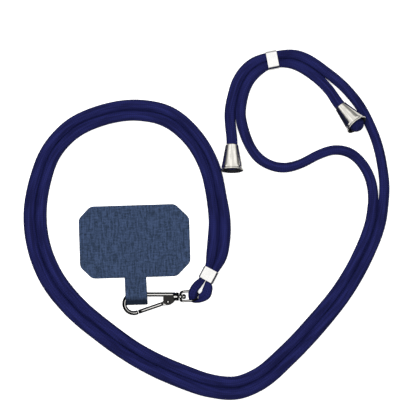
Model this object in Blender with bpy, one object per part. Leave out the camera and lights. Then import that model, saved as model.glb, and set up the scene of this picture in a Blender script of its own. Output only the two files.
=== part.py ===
"""Phone crossbody strap, laid flat: a doubled round cord with a slider and two end caps, a crimp band,
a swivel hook and a cloth patch with a tab. Units are metres, +Z is up and the strap lies on z = 0.
The origin is the middle of the patch's underside."""

import bmesh
import bpy
from math import acos, asin, atan2, ceil, cos, pi, radians, sin
from mathutils import Matrix, Vector

MM = 0.001
PLAY = 0.3 * MM  # gap kept between pieces that touch

# Patch and tab
PATCH_WIDTH = 66.4 * MM
PATCH_HEIGHT = 43.4 * MM
PATCH_THICKNESS = 1.0 * MM
PATCH_CORNER = 8.4 * MM  # leg of each cut corner on the right
PATCH_CORNER_LEFT = 7.2 * MM  # and on the left
PATCH_CORNER_ROUND = 5.0 * MM  # rounding where a cut corner meets an edge
PATCH_TURN = radians(1.8)
TAB_WIDTH = 12.6 * MM
TAB_LENGTH = 16.3 * MM  # from the patch's edge to the fold
TAB_CLOTH = 0.9 * MM
TAB_SLACK = 0.65 * MM  # room over and under the hook's arm inside the tab
TAB_ARM_DEPTH = 10.1 * MM  # from the patch's edge to the middle of the hook's arm
TAB_NECK = 3.0 * MM  # closed stretch of the tab next to the patch

# Swivel hook, in its own frame: +X runs along the swivel's axis from the hook to the eye
HOOK_WIRE = 2.4 * MM
HOOK_ARM_OFFSET = 1.26 * MM  # the arm lies this far beside the swivel's axis
HOOK_TAB_X = 26.7 * MM  # from the swivel's neck to the middle of the tab
HOOK_BEND_X = 28.1 * MM  # from the neck to the middle of the bend
HOOK_BEND_RADIUS = 6.0 * MM
NOSE_LENGTH = 0.8 * MM  # straight end of the hook, past the bend
GATE_WIRE = 2.2 * MM
GATE_TANG_THICKNESS = 1.2 * MM
GATE_TANG_RADIUS = 2.0 * MM
GATE_TIP_GAP = 0.4 * MM
GATE_WIRE_START = 4.0 * MM  # from the rivet to the start of the gate's round wire
GATE_TANG_SHOULDER = 0.1 * MM  # the tang stands out this much beside the wire
RIVET_X = 7.45 * MM  # the gate's rivet, back from the neck
RIVET_Y = 3.1 * MM  # and beside the swivel's axis
RIVET_RADIUS = 0.7 * MM
RIVET_HEAD_RADIUS = 1.3 * MM
RIVET_HEAD_HEIGHT = 0.6 * MM
CHEEK_THICKNESS = 4.0 * MM
CHEEK_LEFT = 2.9 * MM  # from the rivet to the cheeks' end by the gate
CHEEK_FOOT = 0.5 * MM  # below the rivet's head
CHEEK_SHOULDER = 1.0 * MM  # from the rivet down to where the foot's slant starts
CHEEK_FOOT_LEFT = 0.9 * MM  # the foot's ends, either side of the rivet
CHEEK_FOOT_RIGHT = 1.3 * MM
CHEEK_OVERLAP = 0.5 * MM  # the block reaches this far over the arm's middle
CHEEK_ROUND = 0.7 * MM
BARREL_RADIUS = 2.5 * MM
BARREL_LENGTH = 3.5 * MM
BARREL_CHAMFER = 0.4 * MM
BARREL_OVERLAP = 0.8 * MM  # the cheeks reach this far along the barrel
NECK_RADIUS = 0.85 * MM
POST_HEAD_RADIUS = 1.45 * MM
POST_HEAD_LENGTH = 2.1 * MM
POST_HEAD_CHAMFER = (0.6 * MM, 0.5 * MM)  # across and along

# Eye ring
EYE_WIRE = 1.44 * MM
EYE_BASE_THICKNESS = 1.4 * MM
EYE_BOSS_RADIUS = 2.2 * MM
EYE_CORNER = 1.6 * MM
EYE_STRAIGHT = 6.4 * MM  # from the neck to the middle of the round end
EYE_ROLL = radians(50)  # turn of the ring about the swivel's axis, out of the lying plane
EYE_YAW = radians(4.4)  # the ring lies a little askew on its post
EYE_AXIAL_PLAY = 0.4 * MM
EYE_LOOP_PLAY = 0.39 * MM  # room between the ring and the cord in it

# Cord
CORD_DIAMETER = 6.6 * MM
CORD_STEP = 3.0 * CORD_DIAMETER  # longest run between two points of a cord's tube
LOOP_CORD = 5.0 * MM  # thickness where the cord is pulled tight round the eye

# Crimp band, slider and end caps; x and y are counted from the swivel's neck
BAND_LENGTH = 7.7 * MM
BAND_WALL = 0.5 * MM
BAND_CORD = 4.1 * MM  # thickness of each cord squeezed in the band
BAND_PLACE = (16.8 * MM, 13.0 * MM)
BAND_HEADING = radians(62)
SLIDER_LENGTH = 6.6 * MM
SLIDER_WALL = 0.5 * MM
SLIDER_CORD = 4.9 * MM
SLIDER_PLACE = (55.0 * MM, 141.6 * MM)
SLIDER_HEADING = radians(11)
CAP_LENGTH = 15.2 * MM
CAP_TOP_RADIUS = 3.85 * MM
CAP_MOUTH_RADIUS = 6.75 * MM
CAP_WALL = 0.6 * MM
CAP_LIP = 0.25 * MM  # how far the rim stands out
CAP_LIP_LENGTH = 0.8 * MM
CAP_CORD = 5.9 * MM  # thickness of the cord where it enters a cap
KNOT_RADIUS = 4.6 * MM
# Slope of a cap that lies on its side
CAP_REST = atan2(CAP_MOUTH_RADIUS + CAP_LIP - CAP_TOP_RADIUS, CAP_LENGTH - CAP_LIP_LENGTH)
LEFT_CAP_PLACE = (30.8 * MM, 91.2 * MM)
LEFT_CAP_HEADING = radians(-90)
LEFT_KNOT_DEPTH = 4.6 * MM  # middle of the knot, inside the mouth
RIGHT_CAP_PLACE = (95.9 * MM, 114.1 * MM)
RIGHT_CAP_HEADING = radians(-50)
RIGHT_CAP_PITCH = radians(21)  # this cap leans on the outer strand
RIGHT_CAP_LIFT = 0.8 * MM
RIGHT_KNOT_DEPTH = 0.4 * MM

# Routes, chosen by hand: x and y in millimetres from the swivel's neck, and the cord's thickness as a
# share of its diameter, because the knitted cord is stretched thinner in places
PAIR_ROUTE = (  # x, y, share; the midline of the two strands side by side
    (21.0, 22.3, 0.90),
    (22.9, 33.6, 1.02),
    (23.4, 44.4, 0.99),
    (21.6, 58.8, 0.92),
    (17.0, 78.6, 0.92),
    (7.5, 95.1, 0.92),
    (-7.5, 107.7, 0.97),
    (-27.3, 111.7, 0.95),
    (-47.1, 108.6, 0.94),
    (-65.1, 100.3, 0.95),
    (-77.4, 87.0, 0.94),
    (-84.1, 69.6, 0.98),
    (-87.2, 50.4, 1.04),
    (-85.4, 31.8, 1.06),
    (-78.0, 12.3, 1.09),
    (-64.5, -5.4, 1.09),
    (-46.5, -20.8, 1.07),
    (-24.2, -36.2, 1.05),
    (-0.3, -47.4, 1.07),
    (20.3, -54.0, 1.05),
    (33.3, -54.8, 1.05),
    (46.5, -49.7, 1.02),
    (62.5, -36.3, 0.98),
    (81.0, -16.8, 0.97),
    (97.9, 4.5, 0.93),
    (109.8, 25.8, 0.92),
    (117.0, 45.6, 0.93),
    (118.4, 55.8, 0.93),
)
TOP_RIGHT_ROUTE = (  # x, y, share; the midline where they lie side by side again, right of the slider
    (84.5, 132.6, 0.93),
    (76.5, 138.4, 0.93),
    (69.0, 141.9, 0.90),
)
TOP_LEFT_ROUTE = (  # and left of the slider
    (45.8, 138.3, 0.88),
    (40.6, 133.8, 0.92),
    (36.6, 127.6, 0.93),
    (34.2, 120.2, 0.92),
    (32.9, 111.6, 0.90),
)
OUTER_ROUTE = (  # x, y, share; the outer strand from the pair up to the top
    (122.1, 63.6, 0.90),
    (120.6, 79.2, 0.88),
    (117.9, 91.2, 0.88),
    (115.1, 98.9, 0.88),
    (111.7, 106.3, 0.88),
    (107.9, 113.4, 0.88),
    (102.2, 120.9, 0.90),
    (95.0, 128.3, 0.92),
)
OUTER_END = ((30.3, 101.5, 0.90),)  # and on into the left cap
INNER_ROUTE = (  # the inner strand from the pair round to the top's left end
    (115.2, 62.4, 0.92),
    (112.8, 72.6, 0.90),
    (108.6, 79.8, 0.88),
    (101.1, 86.3, 0.88),
    (92.0, 87.9, 0.85),
    (82.4, 84.9, 0.83),
    (71.7, 79.4, 0.82),
    (62.7, 77.1, 0.86),
    (54.0, 78.5, 0.88),
    (46.8, 82.8, 0.90),
    (41.7, 89.7, 0.89),
    (38.1, 98.4, 0.90),
)
INNER_END = ((90.5, 121.6, 0.91),)  # and on into the right cap
LOOP_ROUTE = (  # x, y, height as a share of the eye's height; the hairpin from the band round the eye
    (10.4, 7.4, 0.96),
    (8.1, 4.4, 1.25),
    (7.1, 1.2, 1.13),
    (7.7, -1.0, 0.84),
    (9.4, -1.9, 0.64),
    (11.4, -1.9, 0.62),
    (13.7, -0.9, 0.62),
    (15.6, 1.0, 0.65),
    (16.6, 3.8, 0.68),
    (16.9, 6.0, 0.70),
)


# Values that follow from the sizes above
TAB_HOLLOW = HOOK_WIRE + 2 * TAB_SLACK
TAB_MIDDLE = TAB_CLOTH + TAB_HOLLOW / 2
EYE_HALF_WIDTH = LOOP_CORD / 2 / sin(EYE_ROLL) + EYE_LOOP_PLAY + EYE_WIRE / 2
EYE_HEIGHT = EYE_HALF_WIDTH * sin(EYE_ROLL) + EYE_WIRE / 2
HOOK_PITCH = asin((EYE_HEIGHT - TAB_MIDDLE) / HOOK_TAB_X)
BAND_HEIGHT = BAND_CORD / 2 + PLAY + BAND_WALL
SLIDER_HEIGHT = SLIDER_CORD / 2 + PLAY + SLIDER_WALL


def clear_scene():
    for thing in list(bpy.data.objects):
        bpy.data.objects.remove(thing, do_unlink=True)


def finish(name, colour, roughness, metallic):
    material = bpy.data.materials.new(name)
    material.use_nodes = True
    shader = material.node_tree.nodes["Principled BSDF"]
    shader.inputs["Base Color"].default_value = (*colour, 1)
    shader.inputs["Roughness"].default_value = roughness
    shader.inputs["Metallic"].default_value = metallic
    material.diffuse_color = (*colour, 1)
    return material


def add_empty(name, matrix, parent=None):
    empty = bpy.data.objects.new(name, None)
    bpy.context.scene.collection.objects.link(empty)
    empty.parent = parent
    empty.matrix_local = matrix
    return empty


def add_piece(name, bm, material, parent, guide=False):
    """Makes an object of a mesh given in its parent's frame. A guide is a cutter or an operand."""
    bmesh.ops.recalc_face_normals(bm, faces=bm.faces)
    mesh = bpy.data.meshes.new(name)
    bm.to_mesh(mesh)
    bm.free()
    mesh.shade_smooth()
    mesh.set_sharp_from_angle(angle=radians(35))
    piece = bpy.data.objects.new(name, mesh)
    bpy.context.scene.collection.objects.link(piece)
    piece.parent = parent
    if guide:
        piece.hide_render = True
        piece.display_type = "WIRE"
    else:
        mesh.materials.append(material)
    return piece


def combine(piece, operation, operand):
    step = piece.modifiers.new(operation.lower(), "BOOLEAN")
    step.operation = operation
    step.object = operand
    step.solver = "EXACT"


def prism(outline, low, high):
    """A straight solid with the given outline, between two heights."""
    bm = bmesh.new()
    rings = [[bm.verts.new((x, y, z)) for x, y in outline] for z in (low, high)]
    for ring in rings:
        bm.faces.new(ring)
    for i in range(len(outline)):
        j = (i + 1) % len(outline)
        bm.faces.new((rings[0][i], rings[0][j], rings[1][j], rings[1][i]))
    return bm


def rounded(corners, radius, steps=4):
    """A closed outline whose corners are rounded by arcs of about the given radius."""
    outline = []
    for i, corner in enumerate(corners):
        here = Vector(corner)
        before = (Vector(corners[i - 1]) - here).normalized()
        after = (Vector(corners[(i + 1) % len(corners)]) - here).normalized()
        half = before.angle(after) / 2
        middle = here + (before + after).normalized() * radius / sin(half)
        start = -(middle - here).project(before) + (middle - here)
        end = -(middle - here).project(after) + (middle - here)
        for step in range(steps + 1):
            share = step / steps
            across = (-start).lerp(-end, share).normalized() * radius
            outline.append(tuple(middle + across))
    return outline


def lathe(profile, sides, closed):
    """Turns (radius, x) points about the X axis. A closed profile makes a hollow ring."""
    bm = bmesh.new()
    rings = []
    for radius, x in profile:
        angles = [2 * pi * i / sides for i in range(sides)]
        rings.append([bm.verts.new((x, radius * cos(a), radius * sin(a))) for a in angles])
    pairs = list(zip(rings, rings[1:]))
    if closed:
        pairs.append((rings[-1], rings[0]))
    else:
        bm.faces.new(rings[0])
        bm.faces.new(rings[-1])
    for first, second in pairs:
        for i in range(sides):
            j = (i + 1) % sides
            bm.faces.new((first[i], first[j], second[j], second[i]))
    return bm


def wire(path, radius, sides=12, closed=False):
    """A round wire along a path that lies in the XY plane."""
    bm = bmesh.new()
    rings = []
    for i, (x, y) in enumerate(path):
        if closed:
            before, after = path[i - 1], path[(i + 1) % len(path)]
        else:
            before, after = path[max(i - 1, 0)], path[min(i + 1, len(path) - 1)]
        along = Vector((after[0] - before[0], after[1] - before[1])).normalized()
        ring = []
        for k in range(sides):
            angle = 2 * pi * k / sides
            across = radius * cos(angle)
            ring.append(bm.verts.new((x - along.y * across, y + along.x * across, radius * sin(angle))))
        rings.append(ring)
    pairs = list(zip(rings, rings[1:]))
    if closed:
        pairs.append((rings[-1], rings[0]))
    else:
        bm.faces.new(rings[0])
        bm.faces.new(rings[-1])
    for first, second in pairs:
        for k in range(sides):
            j = (k + 1) % sides
            bm.faces.new((first[k], first[j], second[j], second[k]))
    return bm


def arc(middle, radius, start, end, steps):
    """Points of an arc in the XY plane, from one angle to another."""
    angles = [start + (end - start) * i / steps for i in range(steps + 1)]
    return [(middle[0] + radius * cos(a), middle[1] + radius * sin(a)) for a in angles]


def smooth_curve(points, longest):
    """Points of a smooth curve through the given (x, y, z, thickness), at most `longest` apart."""
    rows = [Vector(point) for point in points]
    spans = [(b.xyz - a.xyz).length for a, b in zip(rows, rows[1:])]
    slopes = []
    for i in range(len(rows)):
        if i == 0:
            slopes.append((rows[1] - rows[0]) / spans[0])
        elif i == len(rows) - 1:
            slopes.append((rows[-1] - rows[-2]) / spans[-1])
        else:
            into = (rows[i] - rows[i - 1]) / spans[i - 1]
            out = (rows[i + 1] - rows[i]) / spans[i]
            slopes.append((into * spans[i] + out * spans[i - 1]) / (spans[i - 1] + spans[i]))
    curve = [rows[0]]
    for i, span in enumerate(spans):
        count = ceil(span / longest)
        for step in range(1, count + 1):
            t = step / count
            curve.append(
                rows[i] * (2 * t**3 - 3 * t**2 + 1)
                + slopes[i] * span * (t**3 - 2 * t**2 + t)
                + rows[i + 1] * (3 * t**2 - 2 * t**3)
                + slopes[i + 1] * span * (t**3 - t**2)
            )
    return curve


def add_cord(name, points, material, parent):
    """A plain tube through (x, y, z, thickness) points."""
    curve = bpy.data.curves.new(name, "CURVE")
    curve.dimensions = "3D"
    curve.bevel_depth = 0.5
    curve.bevel_resolution = 3
    curve.use_fill_caps = True
    curve.resolution_u = 1
    spline = curve.splines.new("POLY")
    spline.points.add(len(points) - 1)
    for point, place in zip(spline.points, points):
        point.co = (*place.xyz, 1)
        point.radius = place.w
    curve.materials.append(material)
    cord = bpy.data.objects.new(name, curve)
    bpy.context.scene.collection.objects.link(cord)
    cord.parent = parent
    return cord


def beside(place, heading, along, across):
    """A point given along and to the right of a heading."""
    x = place[0] + cos(heading) * along + sin(heading) * across
    y = place[1] + sin(heading) * along - cos(heading) * across
    return x, y


def band_outline(cord, margin):
    """A rounded outline round two cords side by side, with a margin round them."""
    half_width = cord + PLAY / 2 + margin
    half_height = cord / 2 + margin
    signs = ((-1, -1), (1, -1), (1, 1), (-1, 1))
    corners = [(sx * half_width, sy * half_height) for sx, sy in signs]
    return rounded(corners, 0.45 * half_height)


def add_band(name, cord, wall, length, place, material, parent):
    """A short flat sleeve round two cords side by side."""
    bm = bmesh.new()
    outlines = (band_outline(cord, PLAY + wall), band_outline(cord, PLAY))
    rings = []
    for outline in outlines:
        for z in (-length / 2, length / 2):
            rings.append([bm.verts.new((x, y, z)) for x, y in outline])
    for first, second in ((0, 1), (3, 2), (2, 0), (1, 3)):
        for i in range(len(rings[0])):
            j = (i + 1) % len(rings[0])
            bm.faces.new((rings[first][i], rings[first][j], rings[second][j], rings[second][i]))
    # Local Z becomes X, the way that the cords run, and local Y becomes up
    turn = Matrix.Rotation(-pi / 2, 4, "Z") @ Matrix.Rotation(-pi / 2, 4, "X")
    bmesh.ops.transform(bm, matrix=turn, verts=bm.verts)
    band = add_piece(name, bm, material, parent)
    band.matrix_local = place
    return band


def cap_frame(place, heading, pitch, height):
    """The frame of a cap: origin at its narrow end, +X towards its mouth."""
    turn = Matrix.Rotation(heading, 4, "Z") @ Matrix.Rotation(-pitch, 4, "Y")
    return Matrix.Translation((*place, height)) @ turn


def add_cap(side, frame, knot_depth, materials, parent):
    """A hollow cone and the knot in its mouth."""
    slope = (CAP_MOUTH_RADIUS - CAP_TOP_RADIUS) / CAP_LENGTH
    lip_start = CAP_LENGTH - CAP_LIP_LENGTH
    profile = (
        (CAP_TOP_RADIUS, 0),
        (CAP_TOP_RADIUS + slope * (lip_start - CAP_LIP), lip_start - CAP_LIP),
        (CAP_MOUTH_RADIUS + CAP_LIP, lip_start),
        (CAP_MOUTH_RADIUS + CAP_LIP, CAP_LENGTH),
        (CAP_MOUTH_RADIUS - CAP_WALL, CAP_LENGTH),
        (CAP_TOP_RADIUS - CAP_WALL, 0),
    )
    holder = add_empty("end_cap_frame_" + side, frame, parent)
    add_piece("end_cap_" + side, lathe(profile, 28, True), materials["metal"], holder)
    bm = bmesh.new()
    bmesh.ops.create_uvsphere(bm, u_segments=16, v_segments=10, radius=KNOT_RADIUS)
    bmesh.ops.rotate(bm, verts=bm.verts, matrix=Matrix.Rotation(pi / 2, 3, "Y"))
    knot = add_piece("end_knot_" + side, bm, materials["cord"], holder)
    knot.location = (CAP_LENGTH - knot_depth, 0, 0)


def cap_points(frame, knot_depth):
    """The end of a strand: up to a cap's narrow end, then inside it as far as the knot."""
    stop = CAP_LENGTH - knot_depth - KNOT_RADIUS - PLAY
    return [(*(frame @ Vector((x, 0, 0))), CAP_CORD) for x in (-3.5 * MM, 0, stop)]


def laid(route):
    """Route rows as (x, y, z, thickness) of a cord that lies on the surface."""
    points = []
    for x, y, share in route:
        thickness = share * CORD_DIAMETER
        points.append((x * MM, y * MM, thickness / 2, thickness))
    return points


def pair_midline():
    """The pair's midline, from the middle of the crimp band to where the strands part."""
    inside = [beside(BAND_PLACE, BAND_HEADING, along, 0) for along in (PLAY / 2, BAND_LENGTH / 2)]
    start = [(x, y, BAND_HEIGHT, BAND_CORD) for x, y in inside]
    return smooth_curve(start + laid(PAIR_ROUTE), CORD_STEP)


def top_midline():
    """The midline of the two strands at the top, from right to left through the slider."""
    half = SLIDER_LENGTH / 2
    inside = [beside(SLIDER_PLACE, SLIDER_HEADING, along, 0) for along in (half, -half)]
    middle = [(x, y, SLIDER_HEIGHT, SLIDER_CORD) for x, y in inside]
    return smooth_curve(laid(TOP_RIGHT_ROUTE) + middle + laid(TOP_LEFT_ROUTE), CORD_STEP)


def beside_midline(midline, side):
    """One of two strands that touch along a midline; side is 1 to the right and -1 to the left."""
    strand = []
    for i, point in enumerate(midline):
        before, after = midline[max(i - 1, 0)], midline[min(i + 1, len(midline) - 1)]
        along = (after.xy - before.xy).normalized()
        offset = side * (point.w + PLAY) / 2
        x, y = point.x + along.y * offset, point.y - along.x * offset
        strand.append(Vector((x, y, point.z, point.w)))
    return strand


def bridge(before, between, after):
    """Smooth points from the end of one run to the start of the next, through the rows between them."""
    ends = [tuple(point) for point in before[-2:]], [tuple(point) for point in after[:2]]
    curve = smooth_curve(ends[0] + between + ends[1], CORD_STEP)
    marks = []
    for i, point in enumerate(curve):
        if min((point - before[-1]).length, (point - after[0]).length) < 1e-7:
            marks.append(i)
    return curve[marks[0] + 1 : marks[-1]]


def strand(pair, route, top, end, cap):
    """A whole strand: along the pair, round to the top, through the slider and into its cap."""
    into_cap = [Vector(point) for point in cap]
    return pair + bridge(pair, laid(route), top) + top + bridge(top, laid(end), into_cap) + into_cap


def loop_points():
    """The hairpin of cord from the crimp band round the eye and back."""
    ends = []
    for side in (-1, 1):
        offset = side * (BAND_CORD + PLAY) / 2
        stops = (-PLAY / 2, -BAND_LENGTH / 2, -BAND_LENGTH / 2 - MM)
        rows = [beside(BAND_PLACE, BAND_HEADING, along, offset) for along in stops]
        ends.append([(x, y, BAND_HEIGHT, BAND_CORD) for x, y in rows])
    middle = [(x * MM, y * MM, share * EYE_HEIGHT, LOOP_CORD) for x, y, share in LOOP_ROUTE]
    return smooth_curve(ends[0] + middle + ends[1][::-1], LOOP_CORD / 2)


def add_patch(material, parent):
    half_width, half_height = PATCH_WIDTH / 2, PATCH_HEIGHT / 2
    corners = []
    for sx, sy in ((1, 1), (-1, 1), (-1, -1), (1, -1)):
        leg = PATCH_CORNER if sx > 0 else PATCH_CORNER_LEFT
        on_side = (sx * half_width, sy * (half_height - leg))
        on_end = (sx * (half_width - leg), sy * half_height)
        corners += [on_side, on_end] if sx * sy > 0 else [on_end, on_side]
    outline = rounded(corners, PATCH_CORNER_ROUND)
    return add_piece("patch", prism(outline, 0, PATCH_THICKNESS), material, parent)


def tab_hollow(steps=12):
    """The roof of the tab's hollow, as (distance from the patch's edge, height), highest over the arm."""
    end = TAB_LENGTH - TAB_CLOTH
    roof = []
    for i in range(steps + 1):
        angle = pi * i / steps
        if angle < pi / 2:
            place = TAB_ARM_DEPTH - (TAB_ARM_DEPTH - TAB_NECK) * cos(angle)
        else:
            place = TAB_ARM_DEPTH - (end - TAB_ARM_DEPTH) * cos(angle)
        roof.append((place, TAB_HOLLOW * max(sin(angle), 0)))
    return roof


def add_tab(material, parent):
    """The tab: a cloth sleeve round the hook's arm, drawn as a section and pulled out to the tab's width."""
    roof = tab_hollow()
    inner = [(u, TAB_CLOTH) for u, _ in roof] + [(u, TAB_CLOTH + h) for u, h in roof[::-1][1:-1]]
    top = [(u, TAB_CLOTH * 2 + h) for u, h in roof]
    outer = [(PLAY, 0), (TAB_NECK, 0), (TAB_LENGTH - TAB_CLOTH, 0), (TAB_LENGTH, TAB_CLOTH)]
    outer += top[::-1] + [(PLAY, PATCH_THICKNESS)]
    base = -PATCH_HEIGHT / 2
    body = prism([(u, h) for u, h in outer], -TAB_WIDTH / 2, TAB_WIDTH / 2)
    hollow = prism([(u, h) for u, h in inner], -TAB_WIDTH, TAB_WIDTH)
    # Local (u, h, across) becomes (across, -u, h) in the patch's frame
    turn = Matrix(((0, 0, 1, 0), (-1, 0, 0, base), (0, 1, 0, 0), (0, 0, 0, 1)))
    for bm in (body, hollow):
        bmesh.ops.transform(bm, matrix=turn, verts=bm.verts)
    tab = add_piece("tab_loop", body, material, parent)
    combine(tab, "DIFFERENCE", add_piece("tab_hollow", hollow, material, parent, guide=True))
    return tab


def hook_layout():
    """Where the bend, the rivet and the gate's line lie in the hook's frame."""
    bend = Vector((-HOOK_BEND_X, HOOK_ARM_OFFSET - HOOK_BEND_RADIUS))
    rivet = Vector((-RIVET_X, -RIVET_Y))
    reach = rivet - bend
    touch = atan2(reach.y, reach.x) - acos(HOOK_BEND_RADIUS / reach.length)
    tangent = bend + HOOK_BEND_RADIUS * Vector((cos(touch), sin(touch)))
    along = (tangent - rivet).normalized()
    return bend, rivet, touch, tangent, along


def add_hook(material, parent):
    """Arm, bend and nose in one wire, the cheek block, the barrel and the swivel's headed post."""
    bend, rivet, touch, tangent, along = hook_layout()
    path = [(-BARREL_LENGTH, HOOK_ARM_OFFSET), (-HOOK_BEND_X / 2, HOOK_ARM_OFFSET)]
    path += arc(bend, HOOK_BEND_RADIUS, pi / 2, 2 * pi + touch, 20)
    path.append(tuple(tangent - along * NOSE_LENGTH))
    hook = add_piece("hook_frame", wire(path, HOOK_WIRE / 2), material, parent)
    neck_start = -EYE_BASE_THICKNESS / 2 - EYE_AXIAL_PLAY
    neck_end = EYE_BASE_THICKNESS / 2 + EYE_AXIAL_PLAY
    profile = (
        (BARREL_RADIUS - BARREL_CHAMFER, neck_start - BARREL_LENGTH),
        (BARREL_RADIUS, neck_start - BARREL_LENGTH + BARREL_CHAMFER),
        (BARREL_RADIUS, neck_start - BARREL_CHAMFER),
        (BARREL_RADIUS - BARREL_CHAMFER, neck_start),
        (NECK_RADIUS, neck_start),
        (NECK_RADIUS, neck_end),
        (POST_HEAD_RADIUS, neck_end),
        (POST_HEAD_RADIUS, neck_end + POST_HEAD_LENGTH - POST_HEAD_CHAMFER[1]),
        (POST_HEAD_RADIUS - POST_HEAD_CHAMFER[0], neck_end + POST_HEAD_LENGTH),
    )
    post = add_piece("hook_post", lathe(profile, 20, False), material, parent, guide=True)
    block_right = neck_start - BARREL_LENGTH + BARREL_OVERLAP
    slot_right = -RIVET_X + GATE_TANG_RADIUS + PLAY
    block_left = -RIVET_X - CHEEK_LEFT
    block_top = HOOK_ARM_OFFSET - CHEEK_OVERLAP
    block_foot = -RIVET_Y - RIVET_HEAD_RADIUS - CHEEK_FOOT
    corners = (
        (block_left, block_top),
        (block_left, -RIVET_Y - CHEEK_SHOULDER),
        (-RIVET_X - CHEEK_FOOT_LEFT, block_foot),
        (-RIVET_X + CHEEK_FOOT_RIGHT, block_foot),
        (block_right, -RIVET_Y),
        (block_right, block_top),
    )
    cheeks = prism(rounded(corners, CHEEK_ROUND, 3), -CHEEK_THICKNESS / 2, CHEEK_THICKNESS / 2)
    block = add_piece("hook_cheeks", cheeks, material, parent, guide=True)
    slot_half = GATE_TANG_THICKNESS / 2 + PLAY
    slot_top = -RIVET_Y + GATE_TANG_RADIUS + PLAY
    slot_left = block_left - MM
    slot_foot = block_foot - MM
    low, high = (slot_left, slot_foot), (slot_right, slot_top)
    corners = (low, (high[0], low[1]), high, (low[0], high[1]))
    slot = add_piece("hook_slot", prism(corners, -slot_half, slot_half), material, parent, guide=True)
    hole = wire_hole("hook_hole", rivet, CHEEK_THICKNESS, material, parent)
    combine(hook, "UNION", block)
    combine(hook, "DIFFERENCE", slot)
    combine(hook, "DIFFERENCE", hole)
    combine(hook, "UNION", post)
    return hook


def wire_hole(name, rivet, depth, material, parent):
    """A cutter for the rivet's hole."""
    radius = RIVET_RADIUS + PLAY
    outline = arc(rivet, radius, 0, 2 * pi * 15 / 16, 15)
    return add_piece(name, prism(outline, -depth, depth), material, parent, guide=True)


def add_gate(material, hinge):
    """The gate's wire and its flat tang with the rivet's hole, made in the hinge's frame."""
    bend, rivet, touch, tangent, along = hook_layout()
    tip = (tangent - rivet).length - NOSE_LENGTH - GATE_TIP_GAP
    gate = add_piece("gate", wire(((GATE_WIRE_START, 0), (tip, 0)), GATE_WIRE / 2), material, hinge)
    round_end = arc((0, 0), GATE_TANG_RADIUS, pi / 2, 3 * pi / 2, 10)
    half = GATE_WIRE / 2 + GATE_TANG_SHOULDER
    tang_end = GATE_WIRE_START + MM
    outline = round_end + [(tang_end, -half), (tang_end, half)]
    half_tang = GATE_TANG_THICKNESS / 2
    tang = add_piece("gate_tang", prism(outline, -half_tang, half_tang), material, hinge, guide=True)
    combine(gate, "UNION", tang)
    combine(gate, "DIFFERENCE", wire_hole("gate_hole", Vector((0, 0)), CHEEK_THICKNESS, material, hinge))
    return gate


def add_rivet(material, hinge):
    """The gate's rivet, with a low dome on each side of the cheeks."""
    seat = CHEEK_THICKNESS / 2 + PLAY / 2
    top = seat + RIVET_HEAD_HEIGHT
    half = (
        (RIVET_RADIUS, seat),
        (RIVET_HEAD_RADIUS, seat),
        (0.85 * RIVET_HEAD_RADIUS, seat + 0.7 * RIVET_HEAD_HEIGHT),
        (0.45 * RIVET_HEAD_RADIUS, top),
    )
    profile = [(radius, -x) for radius, x in half[::-1]] + list(half)
    bm = lathe(profile, 16, False)
    bmesh.ops.rotate(bm, verts=bm.verts, matrix=Matrix.Rotation(pi / 2, 3, "Y"))
    return add_piece("gate_rivet", bm, material, hinge)


def add_eye(material, parent):
    """A D-shaped wire ring with a drilled boss on the swivel's axis, turned about that axis."""
    turn = Matrix.Rotation(EYE_YAW, 4, "Z") @ Matrix.Rotation(-EYE_ROLL, 4, "X")
    frame = add_empty("eye_frame", turn, parent)
    corner, half = EYE_CORNER, EYE_HALF_WIDTH
    path = [(0, 0), (0, -half / 3)]
    path += arc((corner, corner - half), corner, pi, 3 * pi / 2, 4)
    path += arc((EYE_STRAIGHT, 0), half, -pi / 2, pi / 2, 14)
    path += arc((corner, half - corner), corner, pi / 2, pi, 4)
    path.append((0, half / 3))
    eye = add_piece("eye_ring", wire(path, EYE_WIRE / 2, 10, True), material, frame)
    thick = EYE_BASE_THICKNESS / 2
    boss = lathe(((EYE_BOSS_RADIUS, -thick), (EYE_BOSS_RADIUS, thick)), 20, False)
    hole = lathe(((NECK_RADIUS + PLAY, -5 * thick), (NECK_RADIUS + PLAY, 2 * thick)), 16, False)
    combine(eye, "UNION", add_piece("eye_boss", boss, material, frame, guide=True))
    combine(eye, "DIFFERENCE", add_piece("eye_hole", hole, material, frame, guide=True))
    return eye


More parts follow.
